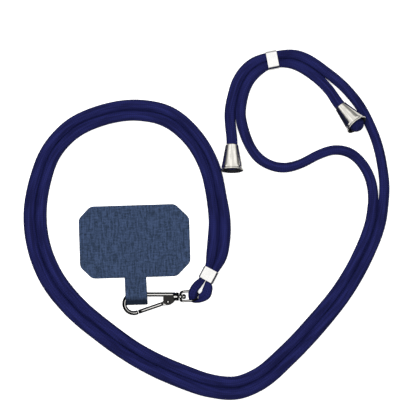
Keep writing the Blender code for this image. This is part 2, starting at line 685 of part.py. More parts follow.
def build():
    clear_scene()
    materials = {
        "cord": finish("navy cord", (0.010, 0.011, 0.055), 0.85, 0),
        "cloth": finish("blue melange cloth", (0.045, 0.075, 0.150), 0.9, 0),
        "metal": finish("bright nickel", (0.72, 0.70, 0.66), 0.18, 1),
    }
    patch_frame = add_empty("patch_frame", Matrix.Rotation(PATCH_TURN, 4, "Z"))
    add_patch(materials["cloth"], patch_frame)
    add_tab(materials["cloth"], patch_frame)

    # The hook's arm runs through the middle of the tab
    tilt = Matrix.Rotation(-HOOK_PITCH, 4, "Y")
    in_tab = Matrix.Rotation(PATCH_TURN, 4, "Z") @ Vector((0, -PATCH_HEIGHT / 2 - TAB_ARM_DEPTH, TAB_MIDDLE))
    neck = in_tab - tilt @ Vector((-HOOK_TAB_X, HOOK_ARM_OFFSET, 0))
    hook_frame = add_empty("hook_axes", Matrix.Translation(neck) @ tilt)
    add_hook(materials["metal"], hook_frame)
    bend, rivet, touch, tangent, along = hook_layout()
    hinge = Matrix.Translation((*rivet, 0)) @ Matrix.Rotation(atan2(along.y, along.x), 4, "Z")
    gate_hinge = add_empty("gate_hinge", hinge, hook_frame)
    add_gate(materials["metal"], gate_hinge)
    add_rivet(materials["metal"], gate_hinge)
    add_eye(materials["metal"], hook_frame)

    # The strap lies on the surface beside the swivel's neck
    strap_frame = add_empty("strap_frame", Matrix.Translation((neck.x, neck.y, 0)))
    metal, cord = materials["metal"], materials["cord"]
    band_place = Matrix.Translation((*BAND_PLACE, BAND_HEIGHT))
    band_place = band_place @ Matrix.Rotation(BAND_HEADING, 4, "Z")
    slider_place = Matrix.Translation((*SLIDER_PLACE, SLIDER_HEIGHT))
    slider_place = slider_place @ Matrix.Rotation(SLIDER_HEADING, 4, "Z")
    add_band("crimp_band", BAND_CORD, BAND_WALL, BAND_LENGTH, band_place, metal, strap_frame)
    add_band("slider", SLIDER_CORD, SLIDER_WALL, SLIDER_LENGTH, slider_place, metal, strap_frame)
    rim = CAP_TOP_RADIUS * cos(CAP_REST)
    left = cap_frame(LEFT_CAP_PLACE, LEFT_CAP_HEADING, CAP_REST, rim)
    right = cap_frame(RIGHT_CAP_PLACE, RIGHT_CAP_HEADING, RIGHT_CAP_PITCH, rim + RIGHT_CAP_LIFT)
    add_cap("left", left, LEFT_KNOT_DEPTH, materials, strap_frame)
    add_cap("right", right, RIGHT_KNOT_DEPTH, materials, strap_frame)
    pair, top = pair_midline(), top_midline()
    left_end, right_end = cap_points(left, LEFT_KNOT_DEPTH), cap_points(right, RIGHT_KNOT_DEPTH)
    outer = strand(beside_midline(pair, 1), OUTER_ROUTE, beside_midline(top, 1), OUTER_END, left_end)
    top_back = beside_midline(top, -1)[::-1]
    inner = strand(beside_midline(pair, -1), INNER_ROUTE, top_back, INNER_END, right_end)
    add_cord("strand_outer", outer, cord, strap_frame)
    add_cord("strand_inner", inner, cord, strap_frame)
    add_cord("cord_loop", loop_points(), cord, strap_frame)


build()
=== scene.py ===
"""Looks of a phone crossbody strap that lies flat: knitted cord, nickel hardware and a cloth patch."""

from math import acos, atan2, ceil, cos, exp, pi, radians, sin

import bmesh
import bpy
import numpy as np
from mathutils import Matrix, Vector, noise


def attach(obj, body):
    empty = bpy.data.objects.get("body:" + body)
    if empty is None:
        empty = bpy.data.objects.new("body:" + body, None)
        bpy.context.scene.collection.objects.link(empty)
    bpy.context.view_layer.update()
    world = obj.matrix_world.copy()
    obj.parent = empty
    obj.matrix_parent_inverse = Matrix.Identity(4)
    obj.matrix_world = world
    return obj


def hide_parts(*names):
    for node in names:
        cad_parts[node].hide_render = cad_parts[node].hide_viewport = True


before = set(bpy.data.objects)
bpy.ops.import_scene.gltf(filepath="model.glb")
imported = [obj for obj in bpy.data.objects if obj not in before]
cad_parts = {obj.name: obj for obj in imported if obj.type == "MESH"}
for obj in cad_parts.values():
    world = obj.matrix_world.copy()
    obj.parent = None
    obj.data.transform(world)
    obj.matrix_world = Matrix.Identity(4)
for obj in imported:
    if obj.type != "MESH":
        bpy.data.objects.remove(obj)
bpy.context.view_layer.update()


# Camera. It looks straight down on the strap from far off, as the photograph does, and stands so high
# that each pixel of the picture covers 0.6 mm of the surface.
MM = 0.001
PIXEL = 0.6 * MM
PICTURE = 416
LENS = 300.0
SENSOR = 36.0
PICTURE_MIDDLE = (44.04 * MM, 19.98 * MM)
camera_data = bpy.data.cameras.new("camera")
camera_data.lens = LENS
camera_data.sensor_width = SENSOR
camera_data.clip_start = 0.05
camera_data.clip_end = 20.0
camera = bpy.data.objects.new("camera", camera_data)
camera.location = (*PICTURE_MIDDLE, PICTURE * PIXEL * LENS / SENSOR)
bpy.context.scene.collection.objects.link(camera)
bpy.context.scene.camera = camera


# The cord's two strands. One soft knitted polyester cord of 6.6 mm makes the whole strap. It is doubled
# at the hook, and each half runs from the crimp band through the slider into a cap of its own.
CORD_DIAMETER = 6.6 * MM
CORD_PLAY = 0.3 * MM
CORD_NAP = 0.27 * MM  # the knit's soft skin stands this much thicker than the solid, so the strands meet
CORD_RUN = 1.4 * MM  # spacing of the rings of a strand's mesh
CORD_SIDES = 36
CORD_TWIST = 4.0  # radians to a metre
SWELL, SWELL_RUN = 0.018, 9.0 * MM  # the cord's slight swell, as a share of its radius, and its run
WALES = 18  # columns of stitches round the cord
STITCH = 1.25 * MM  # length of one
STITCH_LEAN = 0.75  # how far a stitch's legs lean along the cord, in stitches
RIB_SHARE = 0.4  # share of a stitch's height that belongs to the rib of its column
STREAKS_ROUND, STREAKS_ALONG = 13.0, 55.0  # streaks of darker and lighter tone, round the cord and to a metre
NECK = Vector((27.666, -33.044, 4.070)) * MM  # the swivel's neck, from which the routes are counted
BAND_LENGTH = 7.7 * MM
BAND_WALL = 0.5 * MM
BAND_CORD = 4.1 * MM
BAND_PLACE = (16.8 * MM, 13.0 * MM)
BAND_HEADING = radians(62)
BAND_HEIGHT = BAND_CORD / 2 + CORD_PLAY + BAND_WALL
SLIDER_LENGTH = 6.6 * MM
SLIDER_WALL = 0.5 * MM
SLIDER_CORD = 4.9 * MM
SLIDER_PLACE = (55.0 * MM, 141.6 * MM)
SLIDER_HEADING = radians(11)
SLIDER_HEIGHT = SLIDER_CORD / 2 + CORD_PLAY + SLIDER_WALL
CAP_LENGTH = 15.2 * MM
CAP_TOP_RADIUS = 3.85 * MM
CAP_MOUTH_RADIUS = 6.75 * MM
CAP_LIP = 0.25 * MM
CAP_LIP_LENGTH = 0.8 * MM
CAP_CORD = 6.4 * MM
CAP_LEAD = 3.5 * MM  # the cord runs straight for this far before its cap
CAP_REST = atan2(CAP_MOUTH_RADIUS + CAP_LIP - CAP_TOP_RADIUS, CAP_LENGTH - CAP_LIP_LENGTH)
KNOT_RADIUS = 4.6 * MM
LEFT_KNOT_DEPTH = 4.6 * MM
RIGHT_KNOT_DEPTH = 0.4 * MM

PAIR_ROUTE = (  # x and y from the neck in millimetres, and thickness as a share of the cord's diameter
    (21.0, 22.3, 0.90),
    (22.9, 33.6, 1.02),
    (23.4, 44.4, 0.99),
    (21.6, 58.8, 0.92),
    (17.0, 78.6, 0.92),
    (7.5, 95.1, 0.92),
    (-7.5, 107.7, 0.97),
    (-27.3, 111.7, 0.95),
    (-47.1, 108.6, 0.94),
    (-65.1, 100.3, 0.95),
    (-77.4, 87.0, 0.94),
    (-84.1, 69.6, 0.98),
    (-87.2, 50.4, 1.04),
    (-85.4, 31.8, 1.06),
    (-78.0, 12.3, 1.09),
    (-64.5, -5.4, 1.09),
    (-46.5, -20.8, 1.07),
    (-24.2, -36.2, 1.05),
    (-0.3, -47.4, 1.07),
    (20.3, -54.0, 1.05),
    (33.3, -54.8, 1.05),
    (46.5, -49.7, 1.02),
    (62.5, -36.3, 0.98),
    (81.0, -16.8, 0.97),
    (97.9, 4.5, 0.93),
    (109.8, 25.8, 0.92),
    (117.0, 45.6, 0.93),
    (118.4, 55.8, 0.93),
)
TOP_RIGHT_ROUTE = ((84.5, 132.6, 0.93), (76.5, 138.4, 0.93), (69.0, 141.9, 0.90))
TOP_LEFT_ROUTE = (
    (45.8, 138.3, 0.88),
    (40.6, 133.8, 0.92),
    (36.6, 127.6, 0.93),
    (34.2, 120.2, 0.92),
    (32.6, 111.6, 0.95),
)
OUTER_ROUTE = (
    (122.1, 63.6, 0.90),
    (120.6, 79.2, 0.88),
    (117.9, 91.2, 0.88),
    (115.1, 98.9, 0.88),
    (111.7, 106.3, 0.88),
    (107.9, 113.4, 0.88),
    (102.2, 120.9, 0.90),
    (95.0, 128.3, 0.92),
)
OUTER_END = ((29.9, 101.5, 0.96),)
INNER_ROUTE = (
    (115.2, 62.4, 0.92),
    (112.8, 72.6, 0.90),
    (108.6, 79.8, 0.88),
    (101.1, 86.3, 0.88),
    (92.0, 87.9, 0.85),
    (82.4, 84.9, 0.83),
    (71.7, 79.4, 0.82),
    (62.7, 77.1, 0.86),
    (54.0, 78.5, 0.88),
    (46.8, 82.8, 0.90),
    (41.7, 89.7, 0.89),
    (38.1, 98.4, 0.93),
)
INNER_END = ((90.5, 121.6, 0.91),)


def smooth_curve(rows, longest):
    """A smooth curve through rows of x, y, z and thickness, with points at most `longest` apart."""
    rows = np.array(rows, float)
    spans = np.linalg.norm(np.diff(rows[:, :3], axis=0), axis=1)[:, None]
    straight = np.diff(rows, axis=0) / spans
    between = (straight[:-1] * spans[1:] + straight[1:] * spans[:-1]) / (spans[1:] + spans[:-1])
    slopes = np.vstack([straight[:1], between, straight[-1:]])
    runs = [rows[:1]]
    for i, (span,) in enumerate(spans):
        t = np.linspace(0, 1, ceil(span / longest) + 1)[1:, None]
        runs.append(
            rows[i] * (2 * t**3 - 3 * t**2 + 1)
            + slopes[i] * span * (t**3 - 2 * t**2 + t)
            + rows[i + 1] * (3 * t**2 - 2 * t**3)
            + slopes[i + 1] * span * (t**3 - t**2)
        )
    return np.vstack(runs)


def beside(place, heading, along, across):
    """A point given along and to the right of a heading."""
    x = place[0] + cos(heading) * along + sin(heading) * across
    y = place[1] + sin(heading) * along - cos(heading) * across
    return x, y


def laid(route):
    """Route rows as the x, y, z and thickness of a cord that lies on the surface."""
    return [(x * MM, y * MM, share * CORD_DIAMETER / 2, share * CORD_DIAMETER) for x, y, share in route]


def in_sleeve(place, heading, height, cord, stops):
    """Rows of the midline of two cords where a band or a slider holds them."""
    return [(*beside(place, heading, along, 0), height, cord) for along in stops]


def beside_midline(midline, side):
    """One of two strands that touch along a midline; side is 1 to the right and -1 to the left."""
    along = np.gradient(midline[:, :2], axis=0)
    along /= np.linalg.norm(along, axis=1)[:, None]
    offset = side * midline[:, 3] / 2
    strand = midline.copy()
    strand[:, 0] += along[:, 1] * offset
    strand[:, 1] -= along[:, 0] * offset
    return strand


def bridge(before, between, after):
    """Smooth rows from the end of one run to the start of the next, through the rows between them."""
    knots = np.vstack([before[-9::8], between, after[:9:8]])
    curve = smooth_curve(knots, CORD_RUN)
    start = np.argmin(np.linalg.norm(curve - before[-1], axis=1))
    stop = np.argmin(np.linalg.norm(curve - after[0], axis=1))
    return curve[start + 1 : stop]


def evened(rows, step, softness):
    """The same run with its rows evenly spaced, and its small kinks eased out between the ends."""
    for _ in range(softness):
        eased = rows.copy()
        eased[1:-1] = 0.25 * rows[:-2] + 0.5 * rows[1:-1] + 0.25 * rows[2:]
        rows = eased
    length = np.concatenate([[0], np.cumsum(np.linalg.norm(np.diff(rows[:, :3], axis=0), axis=1))])
    marks = np.linspace(0, length[-1], ceil(length[-1] / step) + 1)
    return np.column_stack([np.interp(marks, length, rows[:, i]) for i in range(4)])


def cap_matrix(place, heading, pitch, lift):
    """The frame of a cap: origin in the middle of its narrow end, +X towards its mouth."""
    height = CAP_TOP_RADIUS * cos(CAP_REST) + lift
    lying = Matrix.Translation((NECK.x + place[0] * MM, NECK.y + place[1] * MM, height))
    return lying @ Matrix.Rotation(heading, 4, "Z") @ Matrix.Rotation(-pitch, 4, "Y")


def into_cap(matrix, knot_depth):
    """The end of a strand, up to a cap and on to the knot in it, counted from the neck."""
    stop = CAP_LENGTH - knot_depth - KNOT_RADIUS - CORD_PLAY
    places = [matrix @ Vector((x, 0, 0)) for x in (-CAP_LEAD, 0, stop)]
    return [(p.x - NECK.x, p.y - NECK.y, p.z, CAP_CORD) for p in places]


def frames_along(path, closed=False):
    """Tangents of a path, and two normals at each point that don't spin round it."""
    if closed:
        tangents = np.roll(path, -1, axis=0) - np.roll(path, 1, axis=0)
    else:
        tangents = np.gradient(path, axis=0)
    tangents /= np.linalg.norm(tangents, axis=1)[:, None]
    normal = np.array((0.0, 0.0, 1.0))
    first = []
    for tangent in tangents:
        normal = normal - tangent * (normal @ tangent)
        normal = normal / np.linalg.norm(normal)
        first.append(normal)
    first = np.array(first)
    return tangents, first, np.cross(tangents, first)


def link(name, mesh, material, body):
    """Puts a mesh into the scene as a piece with its finish, riding on its body."""
    piece = bpy.data.objects.new(name, mesh)
    bpy.context.scene.collection.objects.link(piece)
    mesh.materials.append(material)
    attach(piece, body)
    return piece


def tube_mesh(name, path, radii, sides, closed=False, twist=0.0):
    """A round tube with a map of turns round it and metres along it."""
    path, radii = np.array(path, float), np.array(radii, float)
    tangents, first, second = frames_along(path, closed)
    steps = np.linalg.norm(np.diff(path, axis=0), axis=1)
    along = np.concatenate([[0], np.cumsum(steps)])
    turns = np.arange(sides) / sides
    angle = 2 * pi * turns[None, :] + twist * along[:, None]
    verts = path[:, None, :] + radii[:, None, None] * (
        np.cos(angle)[..., None] * first[:, None, :] + np.sin(angle)[..., None] * second[:, None, :]
    )
    count = len(path)
    rows = np.arange(count if closed else count - 1)
    i, j = np.meshgrid(rows, np.arange(sides), indexing="ij")
    i2, j2 = (i + 1) % count, (j + 1) % sides
    corners = [i * sides + j, i2 * sides + j, i2 * sides + j2, i * sides + j2]
    quads = np.stack(corners, axis=-1).reshape(-1, 4)
    along = np.append(along, along[-1] + np.linalg.norm(path[0] - path[-1]))
    around = np.stack([j, j, j + 1, j + 1], axis=-1).reshape(-1) / sides
    lengths = along[np.stack([i, i + 1, i + 1, i], axis=-1).reshape(-1)]
    faces = quads.tolist()
    if not closed:
        faces += [list(range(sides)), list(range(count * sides - 1, (count - 1) * sides - 1, -1))]
    mesh = bpy.data.meshes.new(name)
    mesh.from_pydata(verts.reshape(-1, 3).tolist(), [], faces)
    uv = np.zeros((len(mesh.loops), 2))
    uv[: len(around)] = np.column_stack([around, lengths])
    mesh.uv_layers.new(name="run").data.foreach_set("uv", uv.ravel())
    mesh.shade_smooth()
    return mesh


def calc(tree, operation, *values):
    """A math node in a node tree, fed with sockets or plain numbers; gives its output."""
    node = tree.nodes.new("ShaderNodeMath")
    node.operation = operation
    for socket, value in zip(node.inputs, values):
        if isinstance(value, bpy.types.NodeSocket):
            tree.links.new(value, socket)
        else:
            socket.default_value = value
    return node.outputs[0]


def new_group(name, inputs, outputs):
    """A shader node group with named inputs and outputs; gives the tree and its two end nodes."""
    tree = bpy.data.node_groups.new(name, "ShaderNodeTree")
    for socket, kind, value in inputs:
        made = tree.interface.new_socket(socket, in_out="INPUT", socket_type="NodeSocket" + kind)
        if value is not None:
            made.default_value = value
    for socket, kind in outputs:
        tree.interface.new_socket(socket, in_out="OUTPUT", socket_type="NodeSocket" + kind)
    return tree, tree.nodes.new("NodeGroupInput"), tree.nodes.new("NodeGroupOutput")


def place_group(tree, group, **values):
    """Places a node group in a material and sets or links its inputs; underscores stand for spaces."""
    node = tree.nodes.new("ShaderNodeGroup")
    node.node_tree = group
    for key, value in values.items():
        socket = node.inputs[key.replace("_", " ")]
        if isinstance(value, bpy.types.NodeSocket):
            tree.links.new(value, socket)
        else:
            socket.default_value = value
    return node.outputs


def noise_texture(tree, vector, scale, detail=2.0, roughness=0.5):
    node = tree.nodes.new("ShaderNodeTexNoise")
    node.inputs["Scale"].default_value = scale
    node.inputs["Detail"].default_value = detail
    node.inputs["Roughness"].default_value = roughness
    tree.links.new(vector, node.inputs["Vector"])
    return node.outputs["Fac"]


def stretched(tree, vector, scale):
    """A vector scaled along each axis."""
    node = tree.nodes.new("ShaderNodeVectorMath")
    node.operation = "MULTIPLY"
    tree.links.new(vector, node.inputs[0])
    node.inputs[1].default_value = scale
    return node.outputs[0]


def colour_mix(tree, share, first, second, blend="MIX"):
    node = tree.nodes.new("ShaderNodeMix")
    node.data_type = "RGBA"
    node.blend_type = blend
    for socket, value in ((node.inputs[0], share), (node.inputs[6], first), (node.inputs[7], second)):
        if isinstance(value, bpy.types.NodeSocket):
            tree.links.new(value, socket)
        else:
            socket.default_value = value if isinstance(value, float) else (*value, 1)
    return node.outputs[2]


def ranged(tree, value, low, high, to_low, to_high):
    node = tree.nodes.new("ShaderNodeMapRange")
    tree.links.new(value, node.inputs["Value"])
    for socket, number in zip(("From Min", "From Max", "To Min", "To Max"), (low, high, to_low, to_high)):
        node.inputs[socket].default_value = number
    return node.outputs["Result"]


def bump(tree, height, strength, depth):
    node = tree.nodes.new("ShaderNodeBump")
    node.inputs["Strength"].default_value = strength
    node.inputs["Distance"].default_value = depth
    tree.links.new(height, node.inputs["Height"])
    return node.outputs["Normal"]


def new_material(name, **constants):
    """A material whose shader takes the given constant values; underscores stand for spaces."""
    material = bpy.data.materials.new(name)
    material.use_nodes = True
    shader = material.node_tree.nodes["Principled BSDF"]
    for key, value in constants.items():
        shader.inputs[key.replace("_", " ")].default_value = value
    return material, material.node_tree, shader


def knit_group():
    """Columns of V-shaped stitches along a cord, from a map of turns and metres."""
    tree, given, made = new_group(
        "knitted stitches",
        (("Map", "Vector", None), ("Wales", "Float", float(WALES)), ("Stitch", "Float", STITCH)),
        (("Height", "Float"), ("Fibre", "Float"), ("Shade", "Float")),
    )
    split = tree.nodes.new("ShaderNodeSeparateXYZ")
    tree.links.new(given.outputs["Map"], split.inputs[0])
    column = calc(tree, "MULTIPLY", split.outputs["X"], given.outputs["Wales"])
    inside = calc(tree, "FRACT", column)
    spread = calc(tree, "MULTIPLY", calc(tree, "ABSOLUTE", calc(tree, "SUBTRACT", inside, 0.5)), 2.0)
    row = calc(tree, "DIVIDE", split.outputs["Y"], given.outputs["Stitch"])
    lean = calc(tree, "ADD", row, calc(tree, "MULTIPLY", spread, STITCH_LEAN))
    yarn = calc(tree, "SINE", calc(tree, "MULTIPLY", calc(tree, "FRACT", lean), pi))
    yarn = calc(tree, "POWER", yarn, 0.6)
    rib = calc(tree, "POWER", calc(tree, "SINE", calc(tree, "MULTIPLY", spread, pi)), 0.5)
    edge = calc(tree, "POWER", calc(tree, "COSINE", calc(tree, "MULTIPLY", spread, 1.35)), 0.35)
    crown = calc(tree, "ADD", 1 - RIB_SHARE, calc(tree, "MULTIPLY", rib, RIB_SHARE))
    height = calc(tree, "MULTIPLY", calc(tree, "MULTIPLY", yarn, edge), crown)
    tree.links.new(height, made.inputs["Height"])
    joined = tree.nodes.new("ShaderNodeCombineXYZ")
    tree.links.new(calc(tree, "MULTIPLY", lean, 9.0), joined.inputs[0])
    tree.links.new(calc(tree, "MULTIPLY", spread, 1.5), joined.inputs[1])
    tree.links.new(column, joined.inputs[2])
    tree.links.new(noise_texture(tree, joined.outputs[0], 1.0, 2.0), made.inputs["Fibre"])
    wide = tree.nodes.new("ShaderNodeCombineXYZ")
    tree.links.new(calc(tree, "MULTIPLY", split.outputs["X"], STREAKS_ROUND), wide.inputs[0])
    tree.links.new(calc(tree, "MULTIPLY", split.outputs["Y"], STREAKS_ALONG), wide.inputs[1])
    tree.links.new(noise_texture(tree, wide.outputs[0], 1.0, 3.0), made.inputs["Shade"])
    return tree


# The knit's colour on the stitches' crests, and the painted shade in the hollows between them
CORD_CREST = (0.0170, 0.0200, 0.1150)
CORD_HOLLOW_SHADE = (0.0020, 0.0022, 0.0170)
knit = knit_group()


def cord_material():
    material, tree, shader = new_material(
        "knitted navy polyester",
        Sheen_Weight=0.03,
        Sheen_Roughness=0.45,
        Sheen_Tint=(0.25, 0.30, 0.95, 1),
        Specular_IOR_Level=0.06,
    )
    uv = tree.nodes.new("ShaderNodeUVMap")
    uv.uv_map = "run"
    knitted = place_group(tree, knit, Map=uv.outputs["UV"], Wales=float(WALES), Stitch=STITCH)
    # Painted shade darkens the hollows between the stitches; the fibre and the streaks vary the tone at
    # random
    lit = calc(tree, "MULTIPLY", knitted["Height"], ranged(tree, knitted["Fibre"], 0.3, 0.7, 0.70, 1.15))
    lit = calc(tree, "MULTIPLY", lit, ranged(tree, knitted["Shade"], 0.38, 0.62, 0.48, 1.18))
    tree.links.new(colour_mix(tree, lit, CORD_HOLLOW_SHADE, CORD_CREST), shader.inputs["Base Color"])
    tree.links.new(ranged(tree, knitted["Fibre"], 0.3, 0.7, 0.55, 0.72), shader.inputs["Roughness"])
    relief = calc(tree, "ADD", knitted["Height"], calc(tree, "MULTIPLY", knitted["Fibre"], 0.18))
    tree.links.new(bump(tree, relief, 0.9, 0.16 * MM), shader.inputs["Normal"])
    return material


cord_finish = cord_material()
left_cap = cap_matrix((30.75, 90.7), radians(-90), CAP_REST, 0)
right_cap = cap_matrix((96.0, 113.7), radians(-50), radians(21), 0.8 * MM)

at_band = in_sleeve(BAND_PLACE, BAND_HEADING, BAND_HEIGHT, BAND_CORD, (CORD_PLAY / 2, BAND_LENGTH / 2))
pair = smooth_curve(at_band + laid(PAIR_ROUTE), CORD_RUN)
slider_ends = (SLIDER_LENGTH / 2, -SLIDER_LENGTH / 2)
at_slider = in_sleeve(SLIDER_PLACE, SLIDER_HEADING, SLIDER_HEIGHT, SLIDER_CORD, slider_ends)
top = smooth_curve(laid(TOP_RIGHT_ROUTE) + at_slider + laid(TOP_LEFT_ROUTE), CORD_RUN)


def strand_rows(side, route, across_top, end, cap_end):
    """A whole strand: along the pair, round to the top, through the slider and into its cap."""
    start = beside_midline(pair, side)
    cap_end = smooth_curve(cap_end, CORD_RUN)
    rows = [start, bridge(start, laid(route), across_top), across_top]
    rows += [bridge(across_top, laid(end), cap_end), cap_end]
    rows = evened(np.vstack(rows), CORD_RUN, 6)
    rows[:, :3] += (NECK.x, NECK.y, CORD_NAP / 2)
    rows[:, 3] += CORD_NAP
    return rows


def cord_radii(rows, seed):
    """Radii along a cord, with the slight swell and pinch of a soft knitted tube."""
    places = [Vector((i * CORD_RUN / SWELL_RUN, seed, 0)) for i in range(len(rows))]
    swell = [1 + SWELL * noise.noise(place) for place in places]
    return rows[:, 3] / 2 * np.array(swell)


def add_strand(name, node, rows, seed):
    mesh = tube_mesh(name, rows[:, :3], cord_radii(rows, seed), CORD_SIDES, twist=CORD_TWIST)
    piece = link(name, mesh, cord_finish, "strap")
    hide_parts(node)
    return piece


outer_top, inner_top = beside_midline(top, 1), beside_midline(top, -1)[::-1]
left_end, right_end = into_cap(left_cap, LEFT_KNOT_DEPTH), into_cap(right_cap, RIGHT_KNOT_DEPTH)
outer_rows = strand_rows(1, OUTER_ROUTE, outer_top, OUTER_END, left_end)
inner_rows = strand_rows(-1, INNER_ROUTE, inner_top, INNER_END, right_end)
outer_strand = add_strand("outer_strand", "strand_outer", outer_rows, 1.7)
inner_strand = add_strand("inner_strand", "strand_inner", inner_rows, 8.3)


# The hairpin. Where the cord goes round the hook's eye it is pulled tight and a little thinner, and the
# crimp band holds both its legs.
LOOP_CORD = 5.0 * MM  # in the eye
LOOP_SIDES = 40
LOOP_STEP = 0.5 * MM
LOOP_ROUTE = (  # x, y in millimetres, height as a share of the neck's, thickness in millimetres
    (10.4, 7.4, 0.96, 5.1),
    (8.1, 4.4, 1.25, 5.2),
    (7.1, 1.2, 1.13, 5.3),
    (7.7, -1.0, 0.84, 5.3),
    (9.4, -1.3, 0.64, 5.2),
    (11.4, -1.1, 0.62, 5.3),
    (13.5, -0.1, 0.62, 5.8),
    (15.1, 1.1, 0.65, 6.2),
    (16.0, 3.8, 0.68, 6.1),
    (16.5, 6.0, 0.70, 5.5),
)
loop_ends = []
for side in (-1, 1):
    across = side * (BAND_CORD + CORD_PLAY) / 2
    stops = (-CORD_PLAY / 2, -BAND_LENGTH / 2, -BAND_LENGTH / 2 - MM)
    places = [beside(BAND_PLACE, BAND_HEADING, along, across) for along in stops]
    loop_ends.append([(x, y, BAND_HEIGHT, BAND_CORD) for x, y in places])
loop_middle = []
for x, y, share, thickness in LOOP_ROUTE:
    height = max(share * NECK.z, thickness * MM / 2)
    loop_middle.append((x * MM, y * MM, height, thickness * MM))
loop_route = smooth_curve(loop_ends[0] + loop_middle + loop_ends[1][::-1], LOOP_STEP)
loop_rows = evened(loop_route, LOOP_STEP, 4)
loop_rows[:, :3] += (NECK.x, NECK.y, 0)
loop_mesh = tube_mesh("hairpin", loop_rows[:, :3], cord_radii(loop_rows, 4.4), LOOP_SIDES)
hairpin = link("hairpin", loop_mesh, cord_finish, "strap")
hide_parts("cord_loop")


# Crimp band and slider. Both are short flat sleeves of bright nickel sheet, bent round the two cords,
# with their edges tumbled round. The band is squeezed on for good, and the slider can be pushed along.
BAND_PINCH = -0.22 * MM  # how far the squeeze has pressed the band's middle in
SLEEVE_EDGE = 0.45  # radius of a sleeve's rim, as a share of its wall
SLEEVE_CORNER = 0.88  # radius of its corners, as a share of half its height


def polish_group():
    """Wear of handled metal: smudges, fine hairlines and a slight waviness."""
    tree, given, made = new_group(
        "handled polish",
        (("Place", "Vector", None),),
        (("Smudge", "Float"), ("Hairline", "Float"), ("Wave", "Float")),
    )
    place = given.outputs["Place"]
    tree.links.new(noise_texture(tree, place, 260.0, 4.0, 0.6), made.inputs["Smudge"])
    lines = noise_texture(tree, stretched(tree, place, (300.0, 2600.0, 2600.0)), 1.0, 3.0, 0.7)
    cross = noise_texture(tree, stretched(tree, place, (2400.0, 350.0, 2400.0)), 1.0, 3.0, 0.7)
    tree.links.new(calc(tree, "MULTIPLY", lines, cross), made.inputs["Hairline"])
    tree.links.new(noise_texture(tree, place, 420.0, 1.0), made.inputs["Wave"])
    return tree


polish = polish_group()


def metal_material(name, colour, roughness, wave, spun=False):
    """Polished plate with the wear of handling; a spun piece also has soft dark streaks along its length,
    painted as reflections.
    """
    material, tree, shader = new_material(name, Metallic=1.0)
    place = tree.nodes.new("ShaderNodeTexCoord")
    worn = place_group(tree, polish, Place=place.outputs["Object"])
    dull = tuple((0.70 if spun else 0.88) * c for c in colour)
    shade = ranged(tree, worn["Smudge"], 0.4, 0.75, 0.0, 0.7)
    if spun:
        # Painted reflection: soft dark streaks along the cone, as a polished cone shows them
        uv = tree.nodes.new("ShaderNodeUVMap")
        uv.uv_map = "run"
        reflection_streaks = noise_texture(tree, stretched(tree, uv.outputs["UV"], (22.0, 45.0, 0.0)), 1.0, 2.0, 0.6)
        shade = calc(tree, "ADD", shade, ranged(tree, reflection_streaks, 0.42, 0.68, 0.0, 1.6))
    tree.links.new(colour_mix(tree, shade, colour, dull), shader.inputs["Base Color"])
    rough = ranged(tree, worn["Smudge"], 0.35, 0.75, roughness, roughness + (0.12 if spun else 0.06))
    tree.links.new(rough, shader.inputs["Roughness"])
    relief = calc(tree, "MULTIPLY", worn["Hairline"], 0.12)
    relief = calc(tree, "ADD", relief, calc(tree, "MULTIPLY", worn["Wave"], wave))
    tree.links.new(bump(tree, relief, 0.35, 0.05 * MM), shader.inputs["Normal"])
    return material


band_finish = metal_material("bright nickel sheet", (0.90, 0.89, 0.87), 0.12, 1.5)


def rounded(corners, radius, steps):
    """A closed outline whose corners are rounded by arcs of the given radius."""
    outline = []
    for i, corner in enumerate(corners):
        here = Vector(corner)
        before = (Vector(corners[i - 1]) - here).normalized()
        after = (Vector(corners[(i + 1) % len(corners)]) - here).normalized()
        half = before.angle(after) / 2
        middle = here + (before + after).normalized() * radius / sin(half)
        start = (middle - here).project(before) - (middle - here)
        end = (middle - here).project(after) - (middle - here)
        for step in range(steps + 1):
            outline.append(tuple(middle + start.lerp(end, step / steps).normalized() * radius))
    return outline


def loft_mesh(name, rings, closed_run):
    """A skin over rings of points; the run of rings closes on itself, or its ends are filled."""
    bm = bmesh.new()
    rows = [[bm.verts.new(point) for point in ring] for ring in rings]
    pairs = list(zip(rows, rows[1:]))
    if closed_run:
        pairs.append((rows[-1], rows[0]))
    else:
        bm.faces.new(rows[0])
        bm.faces.new(rows[-1])
    for first, second in pairs:
        for i in range(len(first)):
            j = (i + 1) % len(first)
            bm.faces.new((first[i], first[j], second[j], second[i]))
    bmesh.ops.recalc_face_normals(bm, faces=bm.faces)
    mesh = bpy.data.meshes.new(name)
    bm.to_mesh(mesh)
    bm.free()
    mesh.shade_smooth()
    return mesh


def sleeve_rings(cord, wall, length, crown):
    """Rings of a flat sleeve: along its outside, over its rounded rim and back through its inside."""
    edge = SLEEVE_EDGE * wall
    half = length / 2
    outside = [(along, wall) for along in np.linspace(-(half - edge), half - edge, 11)]
    angles = np.linspace(0, pi / 2, 5)[1:]
    rim = [(half - edge + edge * sin(a), wall - edge + edge * cos(a)) for a in angles]
    rim += [(half - 0.1 * wall, 0.15 * wall), (half - 0.5 * wall, 0.0)]
    run = outside + rim + [(-along, out) for along, out in rim[::-1]]
    rings = []
    for along, out in run:
        margin = CORD_PLAY + out
        half_width = cord + CORD_PLAY / 2 + margin
        half_height = cord / 2 + margin
        corners = [(-half_width, -half_height), (half_width, -half_height)]
        corners += [(half_width, half_height), (-half_width, half_height)]
        section = []
        for across, up in rounded(corners, SLEEVE_CORNER * half_height, 12):
            swell = 1 - (across / half_width) ** 2
            pinch = crown * swell * (1 - (along / half) ** 2)
            section.append((along, across, up + pinch * (1 if up > 0 else -1)))
        rings.append(section)
    return rings


def add_sleeve(name, node, cord, wall, length, crown, place, heading, height):
    mesh = loft_mesh(name, sleeve_rings(cord, wall, length, crown), True)
    middle = Matrix.Translation((NECK.x + place[0], NECK.y + place[1], height))
    mesh.transform(middle @ Matrix.Rotation(heading, 4, "Z"))
    piece = link(name, mesh, band_finish, "strap")
    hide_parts(node)
    return piece


